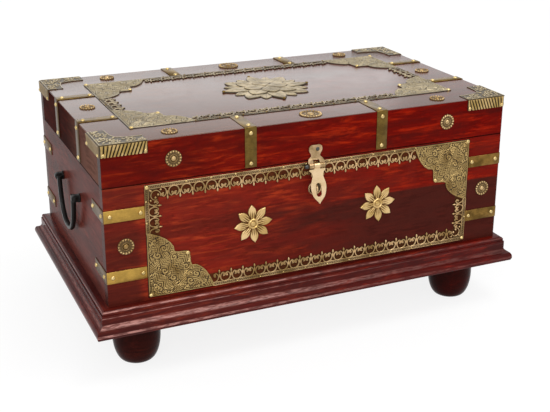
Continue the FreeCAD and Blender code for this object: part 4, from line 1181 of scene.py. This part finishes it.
def petal_sheet(root, length, width, belly, point, neighbours, form, columns=16, rows=30):
    """One petal along X, which meets its neighbours as far out as it is broad enough."""
    def spot(across_share, along_share):
        radius = root + (length - root) * along_share
        half = min(petal_half(radius, length, width, belly, point), radius * math.tan(math.pi / neighbours))
        across = (2 * across_share - 1) * half
        return (radius, across, form(radius, across, half - abs(across)))
    piece = smooth(raised_sheet(columns, rows, spot), 60)
    note_heights(piece)
    return piece


def round_about(pattern, count, first, lift=0.0):
    """Copies of a petal round the middle, lifted on those below, and the pattern cleared away."""
    ring = []
    for number in range(count):
        petal = again(pattern)
        for vertex in petal.data.vertices:
            vertex.co.z += lift if vertex.co.z > 0.01 else 0
        petal.data.transform(Matrix.Rotation(math.radians(first + 360 * number / count), 4, "Z"))
        ring.append(petal)
    bpy.data.objects.remove(pattern)
    return ring


def petal_form(radius, across, inside):
    """A petal swollen between its edges, with three veins that fade towards its tip."""
    swell = 0.8 + 1.2 * (1 - (1 - min(1, inside / 1.8)) ** 2)
    fade = min(1, max(0, (21.5 - radius) / 9))
    vein = max(groove(across, 0.8), groove(abs(across) - 2.5, 0.7))
    return swell - fade * (vein + 0.3)


for name, sign in (("left", -1), ("right", 1)):
    petal = petal_sheet(flower_root, flower_radius, petal_half_width, petal_belly, petal_point, petal_count,
                        petal_form)
    parts = round_about(petal, petal_count, 5) + [smooth(turned_form(boss_profile, 40), 60)]
    seat("front_flower_" + name, "case", "sheet_brass", flower_brass,
         [lay(part, "front", sign * flower_place[0], flower_place[1]) for part in parts], "flower_" + name)


# The medallion on the lid is pressed with broad leaves in five layers, each with a midrib and
# fishbone veins, and nailed at its four points.

medallion_brass = pressed_brass("medallion_brass", (0.030, 0.019, 0.006), (0.20, 0.145, 0.062),
                                (0.40, 0.305, 0.16), 0.8, 1.4, bare=0.3)
medallion_nails = [(60.5, 0), (-60.5, 0), (0, 60.5), (0, -60.5)]
medallion_nail_size = (2.3, 1.8, 1.4)
leaf_root = 0.5
leaf_grid = (20, 44)
leaf_layers = [(8, 22.5, 57.0, 10.0, 0.62, 0.75, 0.0), (4, 45, 61.0, 13.0, 0.62, 0.75, 0.35),
               (4, 0, 62.5, 12.0, 0.56, 0.9, 0.8), (4, 45, 44.0, 14.0, 0.55, 0.7, 1.4),
               (4, 0, 31.0, 13.5, 0.55, 0.6, 2.0)]


def leaf_form(radius, across, inside):
    """A crowned leaf with a dark rim, a pressed midrib and slanting veins."""
    fish = abs((radius - abs(across) * 0.9) / 5.5 % 1 - 0.5)
    height = 0.5 + 1.0 * (1 - (1 - min(1, inside / 2.6)) ** 2)
    vein = 0.35 * groove(fish, 0.16) * (abs(across) > 1)
    return height - vein - 0.5 * groove(across, 0.8) * (radius > 12)


medallion_leaves = []
for count, first, length, width, belly, point, lift in leaf_layers:
    leaf = petal_sheet(leaf_root, length, width, belly, point, 4, leaf_form, *leaf_grid)
    medallion_leaves += round_about(leaf, count, first, lift)
seat("leafy_medallion", "lid", "sheet_brass", medallion_brass,
     [lay(leaf, "top") for leaf in medallion_leaves], "lid_medallion")
medallion_nail = smooth(dome(*medallion_nail_size), 60)
seat("medallion_nails", "lid", "sheet_brass", lid_strap_brass,
     spread_out(medallion_nail, [("top", *place) for place in medallion_nails]))


# Small round rosettes of pressed brass with a roped rim and a dished ground. Each is held by
# the domed nail in its middle.

small_rosette = (10.0, 16)
large_rosette = (14.5, 22)
rosette_rise = 2.8
case_rosette = (245.5, 73.5)
lid_front_rosette = (184.4, 172.8)
lid_end_rosette = 243.5
lid_top_rosette = (181.4, 138.5)
rosette_brass = pressed_brass("rosette_brass", (0.095, 0.052, 0.014), (0.26, 0.155, 0.050),
                              (0.62, 0.44, 0.22), 0.75, 1.9)


def rosette_form(radius, beads):
    """A rosette: a beaded rim, a dish with petals pressed round it and the dome of its nail."""
    rings = (1.0, 0.985, 0.94, 0.88, 0.82, 0.78, 0.72, 0.64, 0.56, 0.50, 0.45, 0.41, 0.35, 0.27, 0.14)
    profile = [(0, 0), (radius, 0)] + [(radius * ring, 0.5) for ring in rings] + [(0, 0.5)]
    piece = turned_form(profile, beads * 6)
    for vertex in piece.data.vertices:
        if vertex.co.z < 0.25:
            continue
        share = math.hypot(vertex.co.x, vertex.co.y) / radius
        angle = math.atan2(vertex.co.y, vertex.co.x)
        bead = abs(math.cos(angle * beads / 2))
        rim = bell(share - 0.87, 0.11) * (0.25 + 1.6 * bead**1.3)
        inner = bell(share - 0.46, 0.06) * 0.9
        ground = 0.55 + 0.25 * bell(share - 0.68, 0.08) * (1 + math.cos(angle * 12))
        nail_dome = rosette_rise * math.sqrt(max(0, 1 - (share / 0.34) ** 2))
        vertex.co.z = max(ground + rim + inner if share < 0.99 else 0.7, nail_dome)
    return smooth(piece, 60)


small = rosette_form(*small_rosette)
seat("front_rosettes", "case", "sheet_brass", rosette_brass,
     [lay(again(small), "front", sign * case_rosette[0], case_rosette[1]) for sign in (-1, 1)],
     "case_rosettes")
spots = [("front", sign * lid_front_rosette[0], lid_front_rosette[1]) for sign in (-1, 1)]
spots += [("top", sign * lid_end_rosette, 0) for sign in (-1, 1)]
spots += [("top", sx * lid_top_rosette[0], sy * lid_top_rosette[1]) for sx in (-1, 1) for sy in (-1, 1)]
seat("small_lid_rosettes", "lid", "sheet_brass", rosette_brass, spread_out(small, spots),
     "lid_rosettes_small")
large = rosette_form(*large_rosette)
seat("large_lid_rosettes", "lid", "sheet_brass", rosette_brass,
     spread_out(large, [("top", 0, sign * lid_top_rosette[1]) for sign in (-1, 1)]), "lid_rosettes_large")


# The hasp, of thick sheet brass polished by use: a keyhole plate screwed to the lid is ramped
# out over the seam to a barrel, and a slotted leaf hangs from the barrel's steel pin over a
# staple that is driven into the case.

hasp_level = 141.0
hasp_axis = (hasp_level, 5.2)
hasp_shift = -3.5
hasp_sheet = 1.6
hasp_barrel = 3.3
plate_half, plate_ramp, plate_notch = 11.0, 8.5, 6.5
knuckle_start, knuckle_end, knuckle_ease = 4.25, 10.7, 0.4
pin_start = -16.6
head_half, head_waist, head_top = 9.1, hasp_level + 11.0, hasp_level + 25.4
screw_radius, screw_rise = 2.6, 1.2
screw_place = (2.6, head_top - 5.5)
leaf_half, leaf_length = 7.25, 48
leaf_shoulder, leaf_neck, leaf_neck_half = 6.2, 4.2, 4
slot_half_width, slot_bottom, slot_length = 3.5, 38.6, 16.9
leaf_tilt = -12
staple_height = hasp_level - 30.75
staple_radius, staple_foot, staple_shoulder, staple_wire = 5.7, 0.6, 2.4, 1.3
hasp_brass = rolled_brass("hasp_brass", (0.84, 0.63, 0.39), (0.66, 0.47, 0.25), 0.3)
head_brass = rolled_brass("hasp_head_brass", (0.66, 0.45, 0.27), (0.30, 0.20, 0.09), 0.34)
staple_brass = pressed_brass("staple_brass", (0.07, 0.040, 0.012), (0.45, 0.31, 0.13),
                             (0.75, 0.55, 0.30), 0.9, 1.3)


def mirrored(points):
    """The same points on the other side, in the order of the way back."""
    return [(-x, y) for x, y in reversed(points)]


head_side = [(0.68, 0.0), (0.72, 0.20), (0.95, 0.45), (1.0, 0.66), (0.90, 0.88), (0.55, 1.0), (0.2, 1.0)]
head_side = [(head_half * across, head_waist + (head_top - head_waist) * rise) for across, rise in head_side]
head_side = through(head_side, 3)
keyhole = [(plate_half, hasp_level), (plate_half, hasp_level + 5.5), (9.4, 149.2)] + head_side
keyhole += mirrored(keyhole)
keyhole += [(-knuckle_start, hasp_level), (-knuckle_start, hasp_level + plate_notch),
            (knuckle_start, hasp_level + plate_notch), (knuckle_start, hasp_level)]
hasp_plate = cut_blank(keyhole, hasp_sheet)
bpy.ops.object.mode_set(mode="EDIT")
for fold in (hasp_level + plate_ramp, hasp_level + hasp_barrel):
    bpy.ops.mesh.select_all(action="SELECT")
    bpy.ops.mesh.bisect(plane_co=(0, fold, 0), plane_no=(0, 1, 0))
bpy.ops.object.mode_set(mode="OBJECT")
for vertex in hasp_plate.data.vertices:
    rise = min(1, max(0, (hasp_level + plate_ramp - vertex.co.y) / (plate_ramp - hasp_barrel)))
    vertex.co.z += rise * (hasp_axis[1] - hasp_sheet)
ease_edges(hasp_plate, 0.35, 2, 35)


def knuckle(start, end):
    """A rolled knuckle round the hasp's pin, its ends eased."""
    eased, length = hasp_barrel - knuckle_ease, end - start
    profile = [(0, 0), (eased, 0), (hasp_barrel, knuckle_ease), (hasp_barrel, length - knuckle_ease),
               (eased, length), (0, length)]
    piece = turned_form(profile, 28)
    piece.data.transform(Matrix.Translation((start, *hasp_axis)) @ Matrix.Rotation(math.pi / 2, 4, "Y"))
    return smooth(piece, 40)


plate_parts = [hasp_plate, knuckle(-knuckle_end, -knuckle_start), knuckle(knuckle_start, knuckle_end)]
seat("hasp_keyhole_plate", "lid", "sheet_brass", head_brass,
     [lay(part, "front", hasp_shift) for part in plate_parts], "hasp_plate")

steel, steel_shader, steel_place = new_finish("steel")
steel_mark = steel_place.noise(180.0, 3.0, 0.6)
dress(steel_shader, base_color=steel_mark.tinted((0.05, 0.048, 0.045), (0.12, 0.115, 0.11)), metallic=1.0,
      roughness=0.25 + steel_mark * 0.2)
screw = dome(screw_radius, screw_rise, hasp_sheet)
screw.data.transform(Matrix.Translation((*screw_place, 0)))
pin_profile = [(0, 0), (2.0, 0.4), (2.7, 1.6), (2.9, 2.9), (2.7, 4.2), (2.0, 5.2), (1.3, 5.6), (1.3, 27.6),
               (1.8, 27.7), (1.8, 28.6), (1.1, 29.0), (0, 29.1)]
pin = turned_form(pin_profile, 24)
pin.data.transform(Matrix.Translation((pin_start, *hasp_axis)) @ Matrix.Rotation(math.pi / 2, 4, "Y"))
seat("hasp_pivot", "lid", "steel", steel, [lay(smooth(pin, 40), "front", hasp_shift)], "hasp_pin")
seat("hasp_screw", "lid", "steel", steel, [lay(smooth(screw, 60), "front", hasp_shift)])

leaf_side = [(0.0, 0.0), (0.34, 0.07), (0.93, 0.17), (1.26, 0.28), (1.43, 0.41), (1.41, 0.52), (1.17, 0.64),
             (1.0, 0.73), (1.03, 0.78), (1.22, 0.84)]
leaf_side = [(leaf_half * across, hasp_level - leaf_length * (1 - rise)) for across, rise in leaf_side]
leaf_side = through(leaf_side, 3)
leaf_side += [(plate_half, hasp_level - leaf_shoulder), (plate_half, hasp_level - leaf_neck)]
leaf_outline = leaf_side + [(leaf_neck_half, hasp_level - leaf_neck), (leaf_neck_half, hasp_level),
                            (-leaf_neck_half, hasp_level), (-leaf_neck_half, hasp_level - leaf_neck)]
leaf_outline += mirrored(leaf_side[1:])
hasp_leaf = cut_blank(leaf_outline, hasp_sheet)
slot_half = [(0.38, 0.0), (0.85, 0.08), (1.0, 0.2), (1.0, 0.8), (0.85, 0.92), (0.38, 1.0)]
slot_half = [(slot_half_width * across, hasp_level - slot_bottom + slot_length * rise)
             for across, rise in slot_half]
slot_cutter = cut_blank(slot_half + mirrored(slot_half), 8)
slot_cutter.data.transform(Matrix.Translation((0, 0, -3)))
cut = hasp_leaf.modifiers.new("slot", "BOOLEAN")
cut.object = slot_cutter
cut.operation = "DIFFERENCE"
bpy.context.view_layer.objects.active = hasp_leaf
bpy.ops.object.modifier_apply(modifier="slot")
bpy.data.objects.remove(slot_cutter)
ease_edges(hasp_leaf, 0.4, 2, 35)
hasp_leaf.data.transform(Matrix.Translation((0, 0, hasp_axis[1] - hasp_sheet / 2)))
tilt = Matrix.Translation((0, *hasp_axis)) @ Matrix.Rotation(math.radians(leaf_tilt), 4, "X")
tilt = tilt @ Matrix.Translation((0, -hasp_axis[0], -hasp_axis[1]))
leaf_parts = [hasp_leaf, knuckle(-leaf_neck_half, leaf_neck_half)]
for part in leaf_parts:
    part.data.transform(tilt)
seat("hasp_hanging_leaf", "hasp", "sheet_brass", hasp_brass,
     [lay(part, "front", hasp_shift) for part in leaf_parts], "hasp_leaf")

# Painted shade: the disc's flat middle lies below its brass's groove height, so it takes the dark brown of
# the shade behind the hasp leaf; only its rim is bright.
disc = turned_form([(0, 0), (9, 0), (9, 0.9), (8.6, 1.4), (8.0, 1.4), (7.5, 0.7), (4, 0.7), (0, 0.7)], 48)
seat("staple_disc", "case", "sheet_brass", staple_brass,
     [lay(smooth(disc, 35), "front", hasp_shift, staple_height)], "staple_plate")
arch = [(0, staple_radius, staple_foot)]
for k in range(13):
    turn = math.pi * k / 12
    arch.append((0, staple_radius * math.cos(turn), staple_shoulder + staple_radius * math.sin(turn)))
arch.append((0, -staple_radius, staple_foot))
staple = wire_along(arch, staple_wire)
seat("staple_loop", "case", "sheet_brass", hasp_brass,
     [lay(smooth(staple, 60), "front", hasp_shift, staple_height)], "staple_eye")


# A bail handle of black forged iron hangs at each end of the case. Its ends turn in two cast
# brackets that are fixed to the end board.

iron, iron_shader, iron_place = new_finish("black_iron")
hammer = iron_place.noise(140.0, 3.0, 0.6)
dress(iron_shader, base_color=hammer.tinted((0.002, 0.002, 0.0018), (0.010, 0.009, 0.008)),
      roughness=0.28 + hammer * 0.2, normal=hammer.bump(0.25, 0.0008), ior=1.3)
handle_height = 98.05
handle_reach = 7.0
bail_wire = 3.4
bracket_place, bracket_plate, bracket_ease = 46, 2.0, 0.7
stub_place = 37.5
stub_profile = [(0, 0), (2.4, 0), (2.4, 11.6), (3.0, 12.0), (3.0, 12.7), (2.2, 13.2), (0, 13.4)]
lug_radius, lug_thickness = 4.5, 7.0
bail_foot = [(38.0, 2.2), (37.8, -4), (36.6, -14), (33.8, -26), (28.6, -38), (19.6, -48), (9, -52)]
bail_line = through(bail_foot + [(0, -52.6)] + mirrored(bail_foot), 4)
bracket_outline = [(4.8 * math.cos(math.pi * k / 12), 5.8 * math.sin(math.pi * k / 12)) for k in range(24)]
for side in ("left", "right"):
    bail_parts = [smooth(wire_along([(x, y, handle_reach) for x, y in bail_line], bail_wire), 60)]
    for sign in (-1, 1):
        stub = turned_form(stub_profile, 20)
        stub.data.transform(Matrix.Translation((sign * stub_place, 0, handle_reach))
                            @ Matrix.Rotation(sign * math.pi / 2, 4, "Y"))
        bail_parts.append(smooth(stub, 40))
    seat("iron_bail_" + side, "bail_" + side, "black_iron", iron,
         [lay(part, side, 0, handle_height) for part in bail_parts], "handle_bail_" + side)
lug_outline = [(-5.0, 1.6), (-4.4, 2.6)]
for k in range(13):
    turn = math.pi * k / 12
    lug_outline.append((-lug_radius * math.cos(turn), handle_reach + lug_radius * math.sin(turn)))
lug_outline += [(4.4, 2.6), (5.0, 1.6)]
bracket_parts = []
for side in ("left", "right"):
    for sign in (-1, 1):
        back = ease_edges(cut_blank(bracket_outline, bracket_plate), bracket_ease, 2)
        lug = ease_edges(cut_blank(lug_outline, lug_thickness), bracket_ease, 2)
        lug.data.transform(Matrix(((0, 0, 1, -lug_thickness / 2), (1, 0, 0, 0), (0, 1, 0, 0), (0, 0, 0, 1))))
        for part in (back, lug):
            bracket_parts.append(lay(part, side, sign * bracket_place, handle_height))
seat("iron_brackets", "case", "black_iron", iron, bracket_parts, "handle_brackets")


# Two butt hinges of sheet brass are let into the meeting edges of case and lid at the back.
# Each turns on a steel pin and is held by countersunk steel screws.

finish_nodes(strap_brass, "hinge_case_leaves", "hinge_lid_leaves")
finish_nodes(steel, "hinge_pins", "hinge_case_screws", "hinge_lid_screws")


# The bottom board and the corner blocks under it, which take the dowels of the feet, are plain
# wood, glued in and never lacquered.

inner_wood = lacquered("inner_wood", "X", (2.0, 0.3, 0.5), (0.20, 0.10, 0.05), (0.32, 0.18, 0.09),
                       (0.45, 0.28, 0.15))
finish_nodes(inner_wood, "case_bottom_board", "foot_blocks")
